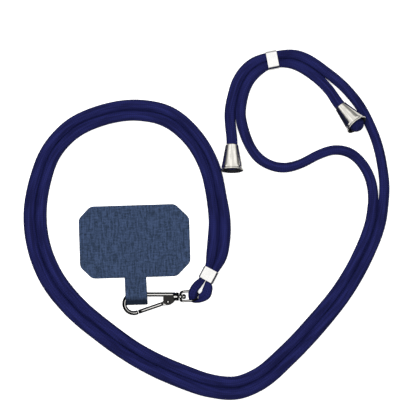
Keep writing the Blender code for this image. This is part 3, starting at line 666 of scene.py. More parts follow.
band_sizes = (BAND_CORD, BAND_WALL, BAND_LENGTH, BAND_PINCH)
slider_sizes = (SLIDER_CORD, SLIDER_WALL, SLIDER_LENGTH, 0.0)
add_sleeve("band_sleeve", "crimp_band", *band_sizes, BAND_PLACE, BAND_HEADING, BAND_HEIGHT)
slider = add_sleeve("slider_sleeve", "slider", *slider_sizes, SLIDER_PLACE, SLIDER_HEADING, SLIDER_HEIGHT)


# End caps. Each is a cone spun from thin sheet and nickel-plated, with a groove and a rolled rim at its
# mouth. It is threaded on the strand, narrow end first, and hides the knot that stops it.
CAP_WALL = 0.6 * MM
CAP_SIDES = 96
CAP_SEEN_LENGTH = 15.8 * MM  # with the roll of the rim, which the solid leaves out
# Points of its section in millimetres: x, from the narrow end or for the last three from the mouth, and
# the distance from the cone's plain side or from the lip
CAP_TOP_EDGE = ((0.02, -0.40), (-0.08, -0.28), (0.0, -0.10), (0.15, 0.0))
CAP_GROOVE = ((-2.05, -0.02), (-1.75, -0.30), (-1.35, -0.34), (-1.05, 0.0))
CAP_ROLL = ((-0.80, -0.06), (-0.55, 0.0), (-0.35, -0.02), (-0.20, -0.12), (-0.12, -0.26))
CAP_ROLL_INSIDE = ((-0.05, -0.45), (-0.15, -0.70))
CAP_INSIDE = (14.0, 9.0, 4.5, 1.0)  # x of the wall's inner points, from the narrow end
cap_finish = metal_material("polished nickel cone", (0.93, 0.90, 0.83), 0.06, 2.2, spun=True)
# The cone's inside is painted near black, as the shade inside its mouth
cap_inside, _, inside_shader = new_material("inside of the cone in painted shade", Metallic=0.6, Roughness=0.55)
inside_shader.inputs["Base Color"].default_value = (0.012, 0.013, 0.018, 1)


def lathe_mesh(name, profile, sides, closed):
    """Turns (x, radius) points about the X axis."""
    angles = [2 * pi * i / sides for i in range(sides)]
    rings = [[(x, radius * cos(a), radius * sin(a)) for a in angles] for x, radius in profile]
    return loft_mesh(name, rings, closed)


def cap_profile():
    """The cone's section as x and radius: its outside with the rolled rim, and its inside."""
    slope = (CAP_MOUTH_RADIUS - CAP_TOP_RADIUS) / CAP_SEEN_LENGTH
    lip = CAP_MOUTH_RADIUS + CAP_LIP
    mouth = CAP_SEEN_LENGTH
    side = [(x * MM, out * MM) for x, out in CAP_TOP_EDGE]
    side += [(x, 0.0) for x in np.linspace(0.5 * MM, mouth - 2.6 * MM, 12)]
    side += [(mouth + x * MM, out * MM) for x, out in CAP_GROOVE]
    outside = [(x, CAP_TOP_RADIUS + slope * x + out) for x, out in side]
    outside += [(mouth + x * MM, lip + out * MM) for x, out in CAP_ROLL]
    inside = [(mouth + x * MM, lip + out * MM) for x, out in CAP_ROLL_INSIDE]
    inside += [(x * MM, CAP_TOP_RADIUS + slope * x * MM - CAP_WALL) for x in CAP_INSIDE]
    return outside, inside


def add_cap(name, node, matrix):
    """A cone with a map of turns and metres, and an inside painted near black as shade."""
    outside, inside = cap_profile()
    mesh = lathe_mesh(name, outside + inside, CAP_SIDES, True)
    uv = mesh.uv_layers.new(name="run")
    for face in mesh.polygons:
        corners = [mesh.vertices[i].co for i in face.vertices]
        turns = [atan2(corner.z, corner.y) / (2 * pi) for corner in corners]
        for index, corner, turn in zip(face.loop_indices, corners, turns):
            uv.data[index].uv = (turn if max(turns) - turn < 0.5 else turn + 1, corner.x)
        face.material_index = 1 if face.index // CAP_SIDES >= len(outside) - 1 else 0
    mesh.transform(matrix)
    piece = link(name, mesh, cap_finish, "strap")
    mesh.materials.append(cap_inside)
    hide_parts(node)
    return piece


left_cone = add_cap("left_cone", "end_cap_left", left_cap)
right_cone = add_cap("right_cone", "end_cap_right", right_cap)


# Knots. The strand's end is tied into a tight ball that fills the cap's mouth, with one turn lying over
# the other.
KNOT_WAVE = 0.55  # how far the turns swing to and fro along the cap's axis, in radii
KNOT_LEAN = 1.2  # where round the axis that swing begins, in radians
KNOT_GROOVES = (-0.75, 0.05, 0.8)  # where one turn meets the next, in radii
KNOT_GROOVE_WIDTH = 0.09
KNOT_GROOVE_DEPTH = 0.09
KNOT_DENT = 0.015
LEFT_KNOT_TURN, RIGHT_KNOT_TURN = 0.6, 2.1


def across_turns(direction):
    """Where a direction from the knot's middle lies across the cord's turns, in radii."""
    return direction.x - KNOT_WAVE * sin(2 * atan2(direction.z, direction.y) + KNOT_LEAN)


def add_knot(name, node, matrix, depth, turn):
    """A lump of cord: a tight turn wound over a core, as one skin with a groove between its turns."""
    bm = bmesh.new()
    bmesh.ops.create_uvsphere(bm, u_segments=72, v_segments=48, radius=1.0)
    for vert in bm.verts:
        direction = vert.co.normalized()
        across = across_turns(direction)
        groove = sum(exp(-(((across - place) / KNOT_GROOVE_WIDTH) ** 2)) for place in KNOT_GROOVES)
        dent = KNOT_DENT * noise.noise(direction * 2)
        vert.co = direction * KNOT_RADIUS * (1 - KNOT_GROOVE_DEPTH * groove + dent)
    mesh = bpy.data.meshes.new(name)
    bm.to_mesh(mesh)
    bm.free()
    mesh.shade_smooth()
    uv = mesh.uv_layers.new(name="run")
    for loop in mesh.loops:
        direction = mesh.vertices[loop.vertex_index].co.normalized()
        angle = atan2(direction.z, direction.y)
        uv.data[loop.index].uv = (0.5 * across_turns(direction), angle * KNOT_RADIUS)
    mesh.transform(matrix @ Matrix.Translation((CAP_LENGTH - depth, 0, 0)) @ Matrix.Rotation(turn, 4, "X"))
    piece = link(name, mesh, cord_finish, "strap")
    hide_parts(node)
    return piece


left_knot = add_knot("left_knot", "end_knot_left", left_cap, LEFT_KNOT_DEPTH, LEFT_KNOT_TURN)
right_knot = add_knot("right_knot", "end_knot_right", right_cap, RIGHT_KNOT_DEPTH, RIGHT_KNOT_TURN)


# Hook. A polished wire hook that snaps shut on the patch's tab: its arm and bend are one bent wire, set in
# a cast block whose two cheeks carry the gate, and a barrel with a headed post on which the eye turns.
HOOK_WIRE = 2.6 * MM  # drawn with its plating and polish, a little stouter than the solid
HOOK_ARM_OFFSET = 1.26 * MM
HOOK_BEND_X = 28.2 * MM
HOOK_BEND_RADIUS = 5.6 * MM
HOOK_PITCH = radians(2.8344)
NOSE_LENGTH = 0.8 * MM
RIVET_X = 7.45 * MM
RIVET_Y = 3.1 * MM
RIVET_HEAD = 1.3 * MM
CHEEK_THICKNESS = 4.0 * MM
CHEEK_LEFT = 2.9 * MM  # from the rivet to the block's left side
CHEEK_SHOULDER = 1.0 * MM
CHEEK_FOOT = 0.5 * MM  # under the rivet's head
CHEEK_FOOT_LEFT, CHEEK_FOOT_RIGHT = 0.9 * MM, 1.3 * MM
CHEEK_OVERLAP = 0.5 * MM
CHEEK_ROUND = 0.7 * MM
CHEEK_EDGE = 0.22 * MM
SLOT_PLAY = 0.3 * MM
GATE_TANG = 1.2 * MM
GATE_TANG_RADIUS = 2.0 * MM
BARREL_RADIUS = 2.5 * MM
BARREL_LENGTH = 3.5 * MM
BARREL_OVERLAP = 0.8 * MM
NECK_RADIUS = 0.85 * MM
NECK_HALF = 1.1 * MM
POST_HEAD_RADIUS = 1.45 * MM
POST_HEAD_LENGTH = 2.1 * MM

hook_finish = metal_material("polished nickel wire", (0.86, 0.85, 0.82), 0.04, 1.0)
cast_finish = metal_material("darkened cast block", (0.035, 0.034, 0.033), 0.30, 4.0)
hook_axes = Matrix.Translation(NECK) @ Matrix.Rotation(-HOOK_PITCH, 4, "Y")
bend = Vector((-HOOK_BEND_X, HOOK_ARM_OFFSET - HOOK_BEND_RADIUS))
rivet = Vector((-RIVET_X, -RIVET_Y))
reach = rivet - bend
touch = atan2(reach.y, reach.x) - acos(HOOK_BEND_RADIUS / reach.length)
tangent = bend + HOOK_BEND_RADIUS * Vector((cos(touch), sin(touch)))
gate_line = (tangent - rivet).normalized()


def arc(middle, radius, start, end, steps):
    """Points of an arc in the XY plane, from one angle to another."""
    angles = np.linspace(start, end, steps + 1)
    return [(middle[0] + radius * cos(a), middle[1] + radius * sin(a), 0.0) for a in angles]


def straight(start, end, steps):
    """Points from start up to, but without, end."""
    return [tuple(np.array(start) + (np.array(end) - np.array(start)) * i / steps) for i in range(steps)]


def placed(mesh, matrix):
    mesh.transform(matrix)
    return mesh


arm_start = (-BARREL_LENGTH, HOOK_ARM_OFFSET, 0.0)
arm_end = (-HOOK_BEND_X, HOOK_ARM_OFFSET, 0.0)
nose = tangent - gate_line * NOSE_LENGTH
hook_path = straight(arm_start, arm_end, 16) + arc(bend, HOOK_BEND_RADIUS, pi / 2, 2 * pi + touch, 56)
hook_path.append((nose.x, nose.y, 0.0))
hook_radii = np.full(len(hook_path), HOOK_WIRE / 2)
wire_mesh = tube_mesh("hook_wire", hook_path, hook_radii, 28)
hook_wire = link("hook_wire", placed(wire_mesh, hook_axes), hook_finish, "hook")
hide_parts("hook_frame")


def prism_mesh(name, outline, low, high):
    return loft_mesh(name, [[(x, y, low) for x, y in outline], [(x, y, high) for x, y in outline]], False)


def soften(piece, width):
    """Rounds the edges of a hard-edged piece."""
    edge = piece.modifiers.new("edge", "BEVEL")
    edge.width = width
    edge.segments = 3
    edge.limit_method = "ANGLE"
    edge.angle_limit = radians(40)
    edge.harden_normals = True


def add_cheeks():
    """The block with the slot for the gate's tang between its two cheeks."""
    right = -NECK_HALF - BARREL_LENGTH + BARREL_OVERLAP
    left = -RIVET_X - CHEEK_LEFT
    high = HOOK_ARM_OFFSET - CHEEK_OVERLAP
    foot = -RIVET_Y - RIVET_HEAD - CHEEK_FOOT
    corners = ((left, high), (left, -RIVET_Y - CHEEK_SHOULDER), (-RIVET_X - CHEEK_FOOT_LEFT, foot))
    corners += ((-RIVET_X + CHEEK_FOOT_RIGHT, foot), (right, -RIVET_Y), (right, high))
    half = CHEEK_THICKNESS / 2
    mesh = prism_mesh("hook_cheeks", rounded(corners, CHEEK_ROUND, 6), -half, half)
    slot_half = GATE_TANG / 2 + SLOT_PLAY
    slot_right = -RIVET_X + GATE_TANG_RADIUS + SLOT_PLAY
    slot_top = -RIVET_Y + GATE_TANG_RADIUS + SLOT_PLAY
    slot_left, slot_foot = left - MM, foot - MM  # past the block, so that the slot is open there
    slot_outline = ((slot_left, slot_foot), (slot_right, slot_foot))
    slot_outline += ((slot_right, slot_top), (slot_left, slot_top))
    cutter_mesh = prism_mesh("cheek_slot", slot_outline, -slot_half, slot_half)
    piece = link("hook_cheeks", mesh, cast_finish, "hook")
    cutter = bpy.data.objects.new("cheek_slot", cutter_mesh)
    bpy.context.scene.collection.objects.link(cutter)
    cut = piece.modifiers.new("slot", "BOOLEAN")
    cut.operation = "DIFFERENCE"
    cut.object = cutter
    cut.solver = "EXACT"
    bpy.context.view_layer.update()
    evaluated = piece.evaluated_get(bpy.context.evaluated_depsgraph_get())
    cut_mesh = bpy.data.meshes.new_from_object(evaluated)
    piece.modifiers.clear()
    piece.data = cut_mesh
    bpy.data.objects.remove(cutter)
    cut_mesh.transform(hook_axes)
    soften(piece, CHEEK_EDGE)
    return piece


add_cheeks()

barrel_left = -NECK_HALF - BARREL_LENGTH
post_end = NECK_HALF + POST_HEAD_LENGTH
barrel_profile = (
    (barrel_left, BARREL_RADIUS - 0.45 * MM),
    (barrel_left + 0.10 * MM, BARREL_RADIUS - 0.18 * MM),
    (barrel_left + 0.35 * MM, BARREL_RADIUS),
    (barrel_left + 1.25 * MM, BARREL_RADIUS),
    (barrel_left + 1.35 * MM, BARREL_RADIUS - 0.22 * MM),
    (barrel_left + 1.60 * MM, BARREL_RADIUS - 0.22 * MM),
    (barrel_left + 1.70 * MM, BARREL_RADIUS),
    (-NECK_HALF - 0.40 * MM, BARREL_RADIUS),
    (-NECK_HALF - 0.12 * MM, BARREL_RADIUS - 0.14 * MM),
    (-NECK_HALF, BARREL_RADIUS - 0.40 * MM),
    (-NECK_HALF, NECK_RADIUS + 0.1 * MM),
    (-NECK_HALF + 0.1 * MM, NECK_RADIUS),
    (NECK_HALF - 0.05 * MM, NECK_RADIUS),
    (NECK_HALF, NECK_RADIUS + 0.05 * MM),
    (NECK_HALF, POST_HEAD_RADIUS - 0.1 * MM),
    (NECK_HALF + 0.1 * MM, POST_HEAD_RADIUS),
    (post_end - 0.7 * MM, POST_HEAD_RADIUS),
    (post_end - 0.35 * MM, POST_HEAD_RADIUS - 0.15 * MM),
    (post_end - 0.1 * MM, POST_HEAD_RADIUS - 0.5 * MM),
    (post_end, 0.35 * MM),
)
barrel_mesh = lathe_mesh("hook_barrel", barrel_profile, 56, False)
barrel_mesh.set_sharp_from_angle(angle=radians(50))
link("hook_barrel", placed(barrel_mesh, hook_axes), hook_finish, "hook")


# Rivet. A short plated pin through both cheeks and the gate's tang. It is headed over into a low dome on
# each side, and the gate turns on it.
RIVET_RADIUS = 0.7 * MM
RIVET_HEIGHT = 0.6 * MM
RIVET_DOME = 1.0 * MM
rivet_seat = CHEEK_THICKNESS / 2 + 0.02 * MM
dome = [(rivet_seat, RIVET_DOME - 0.04 * MM), (rivet_seat + 0.12 * MM, RIVET_DOME)]
dome_angles = np.linspace(0.35, 1.5, 8)
dome += [(rivet_seat + RIVET_HEIGHT * sin(a), RIVET_DOME * cos(a) ** 0.8) for a in dome_angles]
rivet_profile = [(-x, radius) for x, radius in dome[::-1]]
rivet_profile += [(-rivet_seat, RIVET_RADIUS), (rivet_seat, RIVET_RADIUS)]
rivet_mesh = lathe_mesh("rivet", rivet_profile + dome, 40, False)
rivet_mesh.set_sharp_from_angle(angle=radians(50))
gate_turn = Matrix.Rotation(atan2(gate_line.y, gate_line.x), 4, "Z")
gate_hinge = hook_axes @ Matrix.Translation((*rivet, 0)) @ gate_turn
rivet_mesh.transform(gate_hinge @ Matrix.Rotation(pi / 2, 4, "Y"))
rivet_pin = link("rivet_pin", rivet_mesh, hook_finish, "hook")
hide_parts("gate_rivet")


# Gate. A straight piece of wire flattened at one end, where the rivet goes through it, and sprung shut
# against the hook's nose.
GATE_WIRE = 2.4 * MM
GATE_TIP_GAP = 0.4 * MM
GATE_FLAT_END = 2.6 * MM
GATE_ROUND_START = 4.6 * MM
# Its flattened end as x from the rivet, half width and half depth, and its tip as the distance from the
# end and from the wire's side, in millimetres
GATE_FLARE = ((1.2, 1.85, 0.6), (2.6, 1.4, 0.6), (3.4, 1.2, 0.8), (4.2, 1.1, 1.03))
GATE_TIP_ROUND = ((0.12, 0.08), (0.0, 0.35))

gate_tip = (tangent - rivet).length - NOSE_LENGTH - GATE_TIP_GAP
gate_half = GATE_WIRE / 2
tang_angles = np.linspace(0.25, pi / 2, 9)
gate_stations = [(-GATE_TANG_RADIUS * cos(a), GATE_TANG_RADIUS * sin(a), GATE_TANG / 2) for a in tang_angles]
gate_stations += [(x * MM, y * MM, z * MM) for x, y, z in GATE_FLARE]
wire_run = np.linspace(GATE_ROUND_START + 0.2 * MM, gate_tip - 0.35 * MM, 6)
gate_stations += [(x, gate_half, gate_half) for x in wire_run]
gate_stations += [(gate_tip - x * MM, gate_half - y * MM, gate_half - y * MM) for x, y in GATE_TIP_ROUND]
gate_rings = []
for x, half_width, half_depth in gate_stations:
    share = min(max((x - GATE_FLAT_END) / (GATE_ROUND_START - GATE_FLAT_END), 0), 1)
    power = 0.35 + 0.65 * share  # from a flat with rounded edges to a round wire
    ring = []
    for k in range(32):
        angle = 2 * pi * k / 32
        y = half_width * abs(cos(angle)) ** power * (1 if cos(angle) > 0 else -1)
        z = half_depth * abs(sin(angle)) ** power * (1 if sin(angle) > 0 else -1)
        ring.append((x, y, z))
    gate_rings.append(ring)
gate_mesh = loft_mesh("gate_bar", gate_rings, False)
gate_bar = link("gate_bar", placed(gate_mesh, gate_hinge), hook_finish, "gate")
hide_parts("gate")


# Eye. A D-shaped ring of thin wire with a drilled boss that turns on the hook's post, and the cord's
# hairpin goes through it.
EYE_WIRE = 1.44 * MM
EYE_STRAIGHT = 6.4 * MM
EYE_ROLL = radians(50)
EYE_YAW = radians(4.4)
EYE_BASE = 1.4 * MM
EYE_BOSS_RADIUS = 2.2 * MM
EYE_CORNER = 1.6 * MM
EYE_PLAY = 0.39 * MM
eye_half = LOOP_CORD / 2 / sin(EYE_ROLL) + EYE_PLAY + EYE_WIRE / 2
eye_axes = hook_axes @ Matrix.Rotation(EYE_YAW, 4, "Z") @ Matrix.Rotation(-EYE_ROLL, 4, "X")
eye_path = straight((0, 0, 0), (0, EYE_CORNER - eye_half, 0), 4)
eye_path += arc((EYE_CORNER, EYE_CORNER - eye_half), EYE_CORNER, pi, 3 * pi / 2, 10)
eye_path += straight((EYE_CORNER, -eye_half, 0), (EYE_STRAIGHT, -eye_half, 0), 6)[1:]
eye_path += arc((EYE_STRAIGHT, 0), eye_half, -pi / 2, pi / 2, 36)
eye_path += straight((EYE_STRAIGHT, eye_half, 0), (EYE_CORNER, eye_half, 0), 6)[1:]
eye_path += arc((EYE_CORNER, eye_half - EYE_CORNER), EYE_CORNER, pi / 2, pi, 10)
eye_path += straight((0, eye_half - EYE_CORNER, 0), (0, 0, 0), 4)[1:]
eye_mesh = tube_mesh("eye_wire", eye_path, np.full(len(eye_path), EYE_WIRE / 2), 24, closed=True)
eye_wire = link("eye_wire", placed(eye_mesh, eye_axes), hook_finish, "strap")
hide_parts("eye_ring")
hole = NECK_RADIUS + 0.3 * MM
boss_profile = (
    (-EYE_BASE / 2, hole + 0.1 * MM),
    (-EYE_BASE / 2, EYE_BOSS_RADIUS - 0.25 * MM),
    (-EYE_BASE / 2 + 0.08 * MM, EYE_BOSS_RADIUS - 0.08 * MM),
    (-EYE_BASE / 2 + 0.25 * MM, EYE_BOSS_RADIUS),
    (EYE_BASE / 2 - 0.25 * MM, EYE_BOSS_RADIUS),
    (EYE_BASE / 2 - 0.08 * MM, EYE_BOSS_RADIUS - 0.08 * MM),
    (EYE_BASE / 2, EYE_BOSS_RADIUS - 0.25 * MM),
    (EYE_BASE / 2, hole + 0.1 * MM),
    (EYE_BASE / 2 - 0.1 * MM, hole),
    (-EYE_BASE / 2 + 0.1 * MM, hole),
)
boss_mesh = lathe_mesh("eye_boss", boss_profile, 48, True)
boss_mesh.set_sharp_from_angle(angle=radians(50))
link("eye_boss", placed(boss_mesh, eye_axes), hook_finish, "strap")


# Patch. A thin, firm pad of blue melange cloth bonded on both sides, die-cut with blunt corners. It is
# carried flat behind what the strap holds, and only its tab comes out.
PATCH_WIDTH = 66.4 * MM
PATCH_HEIGHT = 43.4 * MM
PATCH_THICKNESS = 1.0 * MM
PATCH_CORNER = 8.4 * MM
PATCH_CORNER_LEFT = 7.2 * MM
PATCH_ROUND = 5.0 * MM
PATCH_TURN = radians(1.8)
PATCH_EDGE = 0.28 * MM  # radius of its rim
PATCH_STEP = 1.6 * MM  # spacing of points along its outline
PATCH_SWELL = 0.05 * MM  # unevenness of its face
THREAD = 0.42 * MM
THREAD_DIP = 0.45  # height of a thread that lies under another, as a share of its full height
WARP_SHARE = 0.62  # share of the melange that runs along the warp


def thread_height(tree, own, other, on_top):
    """Height of one set of threads, which dips where the other set lies on top."""
    arch = calc(tree, "MULTIPLY", calc(tree, "MULTIPLY", on_top, other), 1 - THREAD_DIP)
    return calc(tree, "MULTIPLY", own, calc(tree, "ADD", THREAD_DIP, arch))


def weave_group():
    """Plain weave with the uneven yarn of a melange cloth, from a map in metres."""
    tree, given, made = new_group(
        "melange weave",
        (("Map", "Vector", None), ("Thread", "Float", THREAD)),
        (("Height", "Float"), ("Warp", "Float"), ("Melange", "Float"), ("Speck", "Float")),
    )
    split = tree.nodes.new("ShaderNodeSeparateXYZ")
    tree.links.new(given.outputs["Map"], split.inputs[0])
    x = calc(tree, "DIVIDE", split.outputs["X"], given.outputs["Thread"])
    y = calc(tree, "DIVIDE", split.outputs["Y"], given.outputs["Thread"])
    warp = calc(tree, "ABSOLUTE", calc(tree, "SINE", calc(tree, "MULTIPLY", x, pi)))
    weft = calc(tree, "ABSOLUTE", calc(tree, "SINE", calc(tree, "MULTIPLY", y, pi)))
    cell = calc(tree, "ADD", calc(tree, "FLOOR", x), calc(tree, "FLOOR", y))
    over = calc(tree, "PINGPONG", cell, 1.0)
    over_warp = thread_height(tree, warp, weft, over)
    over_weft = thread_height(tree, weft, warp, calc(tree, "SUBTRACT", 1.0, over))
    tree.links.new(calc(tree, "MAXIMUM", over_warp, over_weft), made.inputs["Height"])
    tree.links.new(calc(tree, "GREATER_THAN", over_warp, over_weft), made.inputs["Warp"])
    place = given.outputs["Map"]
    columns = noise_texture(tree, stretched(tree, place, (1000.0, 150.0, 0.0)), 1.0, 3.0, 0.6)
    rows = noise_texture(tree, stretched(tree, place, (210.0, 1050.0, 0.0)), 1.0, 3.0, 0.6)
    columns = calc(tree, "MULTIPLY", columns, WARP_SHARE)
    rows = calc(tree, "MULTIPLY", rows, 1 - WARP_SHARE)
    tree.links.new(calc(tree, "ADD", columns, rows), made.inputs["Melange"])
    tree.links.new(noise_texture(tree, place, 1100.0, 2.0, 0.7), made.inputs["Speck"])
    return tree


CLOTH_LIGHT = (0.0535, 0.084, 0.171)
CLOTH_DARK = (0.009, 0.017, 0.029)
# Colour of the painted shade in the hollows between the threads
CLOTH_HOLLOW_SHADE = (0.016, 0.026, 0.055)
# Colour of the painted shade on the tab's fold and at its root
CLOTH_PAINTED_SHADE = (0.004, 0.007, 0.012)
SPECK_SHARE = 0.38  # share of the cloth's tone that comes from single flecks
weave = weave_group()


def cloth_material():
    material, tree, shader = new_material(
        "blue melange cloth",
        Sheen_Weight=0.04,
        Sheen_Roughness=0.5,
        Sheen_Tint=(0.5, 0.6, 0.9, 1),
        Specular_IOR_Level=0.10,
    )
    uv = tree.nodes.new("ShaderNodeUVMap")
    uv.uv_map = "run"
    woven = place_group(tree, weave, Map=uv.outputs["UV"], Thread=THREAD)
    melange = ranged(tree, woven["Melange"], 0.42, 0.58, 0.0, 1 - SPECK_SHARE)
    speck = ranged(tree, woven["Speck"], 0.40, 0.62, 0.0, SPECK_SHARE)
    colour = colour_mix(tree, calc(tree, "ADD", melange, speck), CLOTH_DARK, CLOTH_LIGHT)
    # The hollows between the threads are painted darker, as shade
    weave_shade = ranged(tree, woven["Height"], 0.3, 0.95, 0.45, 0.0)
    shaded = colour_mix(tree, weave_shade, colour, CLOTH_HOLLOW_SHADE)
    # Painted shade on the tab's fold and where it comes out of the patch, a little uneven with the melange
    painted_shade = tree.nodes.new("ShaderNodeAttribute")
    painted_shade.attribute_name = "painted_shade"
    shade_strength = ranged(tree, woven["Melange"], 0.4, 0.6, 0.62, 0.84)
    shade_share = calc(tree, "MULTIPLY", painted_shade.outputs["Fac"], shade_strength)
    tree.links.new(colour_mix(tree, shade_share, shaded, CLOTH_PAINTED_SHADE), shader.inputs["Base Color"])
    tree.links.new(ranged(tree, woven["Speck"], 0.3, 0.7, 0.80, 0.92), shader.inputs["Roughness"])
    relief = calc(tree, "ADD", woven["Height"], calc(tree, "MULTIPLY", woven["Speck"], 0.3))
    tree.links.new(bump(tree, relief, 0.7, 0.06 * MM), shader.inputs["Normal"])
    return material


cloth_finish = cloth_material()


def add_patch():
    """The patch as rings from its lower face over its rounded edge to the middle of its upper face."""
    half_width, half_height = PATCH_WIDTH / 2, PATCH_HEIGHT / 2
    corners = []
    for sx, sy in ((1, 1), (-1, 1), (-1, -1), (1, -1)):
        leg = PATCH_CORNER if sx > 0 else PATCH_CORNER_LEFT
        on_side = (sx * half_width, sy * (half_height - leg))
        on_end = (sx * (half_width - leg), sy * half_height)
        corners += [on_side, on_end] if sx * sy > 0 else [on_end, on_side]
    base = rounded(corners, PATCH_ROUND, 7)
    outline = []
    for i, (x, y) in enumerate(base):
        x2, y2 = base[(i + 1) % len(base)]
        steps = max(1, round(((x2 - x) ** 2 + (y2 - y) ** 2) ** 0.5 / PATCH_STEP))
        outline += [(x + (x2 - x) * k / steps, y + (y2 - y) * k / steps) for k in range(steps)]
    edge = PATCH_EDGE
    top = PATCH_THICKNESS
    run = [(share, 0.0, 0.0) for share in (0.03, 0.3, 0.6, 0.9)] + [(1.0, -edge, 0.0)]
    run += [(1.0, edge * (sin(a) - 1), edge * (1 - cos(a))) for a in (0.5, 1.0, pi / 2)]
    run += [(1.0, edge * (sin(a) - 1), top - edge * (1 - cos(a))) for a in (pi / 2, 1.0, 0.5, 0)]
    run += [(share, 0.0, top) for share in np.linspace(0.97, 0.03, 26)]
    rings = []
    for share, inset, height in run:
        ring = []
        for x, y in outline:
            out = (x * x + y * y) ** 0.5
            grow = share * (1 + inset / out)
            lift = 0.0
            if height > top / 2:
                lift = PATCH_SWELL * (noise.noise(Vector((x * share, y * share, 0)) * 90) - 0.4)
            ring.append((x * grow, y * grow, height + lift))
        rings.append(ring)
    mesh = loft_mesh("cloth_patch", rings, False)
    uv = mesh.uv_layers.new(name="run")
    for loop in mesh.loops:
        place = mesh.vertices[loop.vertex_index].co
        uv.data[loop.index].uv = (place.x, place.y)
    mesh.transform(Matrix.Rotation(PATCH_TURN, 4, "Z"))
    piece = link("cloth_patch", mesh, cloth_finish, "hook")
    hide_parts("patch")
    return piece


# Tab. A strip of the same cloth, folded once round the hook's arm, with both ends bonded into the patch.
# Its fold carries painted shade, and a faint line of painted shade shows where it comes out of the patch.
TAB_WIDTH = 13.0 * MM
TAB_CLOTH = 0.8 * MM
TAB_ROOT = 0.46 * MM
TAB_SHIFT = -0.2 * MM
TAB_LEAN = 0.025  # the strip hangs a little towards the gate's side
TAB_FOLD_SHADE_START, TAB_FOLD_SHADE_FADE = 12.0 * MM, 1.8 * MM  # where the fold's painted shade begins, and how softly
# A thin line of painted shade where the strip comes out of the patch: its place and half width, and its
# strength
TAB_SEAM = 0.4 * MM
TAB_SEAM_SHADE = 0.6
TAB_ROOT_FADE = 3.0 * MM  # the strip thins towards its ends over this length
TAB_RIPPLE = 0.10 * MM
TAB_STEP = 0.4 * MM
TAB_PATH = (  # distance from the patch's edge and height of the cloth's middle, in millimetres
    (-0.80, 0.68),
    (0.30, 0.74),
    (1.6, 0.86),
    (3.0, 1.48),
    (4.9, 2.78),
    (6.8, 4.00),
    (8.6, 4.74),
    (10.3, 4.92),
    (11.9, 4.52),
    (13.3, 3.52),
    (14.5, 2.32),
    (15.8, 1.40),
    (16.18, 0.90),
    (15.95, 0.53),
    (14.8, 0.43),
    (11.2, 0.43),
    (7.0, 0.43),
    (3.0, 0.42),
    (1.5, 0.30),
    (0.30, 0.26),
    (-0.80, 0.30),
)


def add_tab():
    """The strip as rings of its rounded section, set along the fold."""
    rows = [(u * MM, h * MM, 0.0, 0.0) for u, h in TAB_PATH]
    path = evened(smooth_curve(rows, TAB_STEP), TAB_STEP, 3)[:, :2]
    along = np.concatenate([[0], np.cumsum(np.linalg.norm(np.diff(path, axis=0), axis=1))])
    slope = np.gradient(path, axis=0)
    slope /= np.linalg.norm(slope, axis=1)[:, None]
    run_length = along[-1]
    rings, maps, painted_shade = [], [], []
    for (u, h), (du, dh), s in zip(path, slope, along):
        root = min(s, run_length - s) / TAB_ROOT_FADE
        thick = (TAB_ROOT + (TAB_CLOTH - TAB_ROOT) * min(root, 1)) / 2
        half = TAB_WIDTH / 2
        section = [(x, -thick) for x in np.linspace(-half + thick, half - thick, 15)]
        section += [(half - thick + thick * cos(a), thick * sin(a)) for a in (-1.05, -0.52, 0, 0.52, 1.05)]
        section += [(-x, thick) for x in np.linspace(-half + thick, half - thick, 15)]
        section += [(-half + thick - thick * cos(a), thick * sin(a)) for a in (1.05, 0.52, 0, -0.52, -1.05)]
        ring = []
        for x, out in section:
            ripple = TAB_RIPPLE * noise.noise(Vector((x * 160, s * 160, 3.1))) * min(root, 1)
            out = out + (ripple if h > 0.6 * MM else 0)
            ring.append((x + TAB_SHIFT + TAB_LEAN * u, -PATCH_HEIGHT / 2 - (u + dh * out), h - du * out))
            maps.append((x, s))
            # Painted shade: over the fold, and in a thin line where the strip comes out of the patch
            fold = min(max((u - TAB_FOLD_SHADE_START) / TAB_FOLD_SHADE_FADE, 0), 1)
            seam = max(1 - abs(u - TAB_SEAM) / TAB_SEAM, 0)
            painted_shade.append(max(fold, TAB_SEAM_SHADE * seam))
        rings.append(ring)
    mesh = loft_mesh("cloth_tab", rings, False)
    uv = mesh.uv_layers.new(name="run")
    for loop in mesh.loops:
        uv.data[loop.index].uv = maps[loop.vertex_index]
    mesh.attributes.new("painted_shade", "FLOAT", "POINT").data.foreach_set("value", painted_shade)
    mesh.transform(Matrix.Rotation(PATCH_TURN, 4, "Z"))
    piece = link("cloth_tab", mesh, cloth_finish, "hook")
    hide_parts("tab_loop")
    return piece


add_patch()
add_tab()


# Studio. A plain white floor, lit until its shadows nearly vanish, in a soft white room with one large
# panel overhead. A dark belt round the room, higher on its near side and pale on its far side, draws the
# dark lines along the polished metal. Cloth and floor see only the room's upper half.
FLOOR_GLOW = 0.60
BELT_LOW, BELT_HIGH = -0.20, 0.16  # the belt's edges, as the height of a direction
BELT_RISE = 0.48  # how much higher it stands on the near side
BELT_FADE = 0.22
NEAR_SIDE, FAR_SIDE, LEFT_SIDE = radians(-54), radians(110), radians(180)
BELT_COLOUR = (0.012, 0.014, 0.035)
BELT_PALE = (0.30, 0.30, 0.30)
ROOM_WHITE = 1.12
ROOM_SOFT = (0.95, 0.95, 0.95)
FLOOR_SEEN = 0.80  # what polished metal sees of the floor

floor_mesh = bpy.data.meshes.new("floor")
floor_mesh.from_pydata([(-3, -3, 0), (3, -3, 0), (3, 3, 0), (-3, 3, 0)], [], [(0, 1, 2, 3)])
floor = bpy.data.objects.new("floor", floor_mesh)
bpy.context.scene.collection.objects.link(floor)
floor_material, _, floor_shader = new_material("pale floor", Roughness=0.9, Specular_IOR_Level=0.1)
floor_shader.inputs["Base Color"].default_value = (0.93, 0.93, 0.93, 1)
floor_shader.inputs["Emission Color"].default_value = (1, 1, 1, 1)
floor_shader.inputs["Emission Strength"].default_value = FLOOR_GLOW
floor_mesh.materials.append(floor_material)
floor.visible_glossy = False
floor.visible_diffuse = False

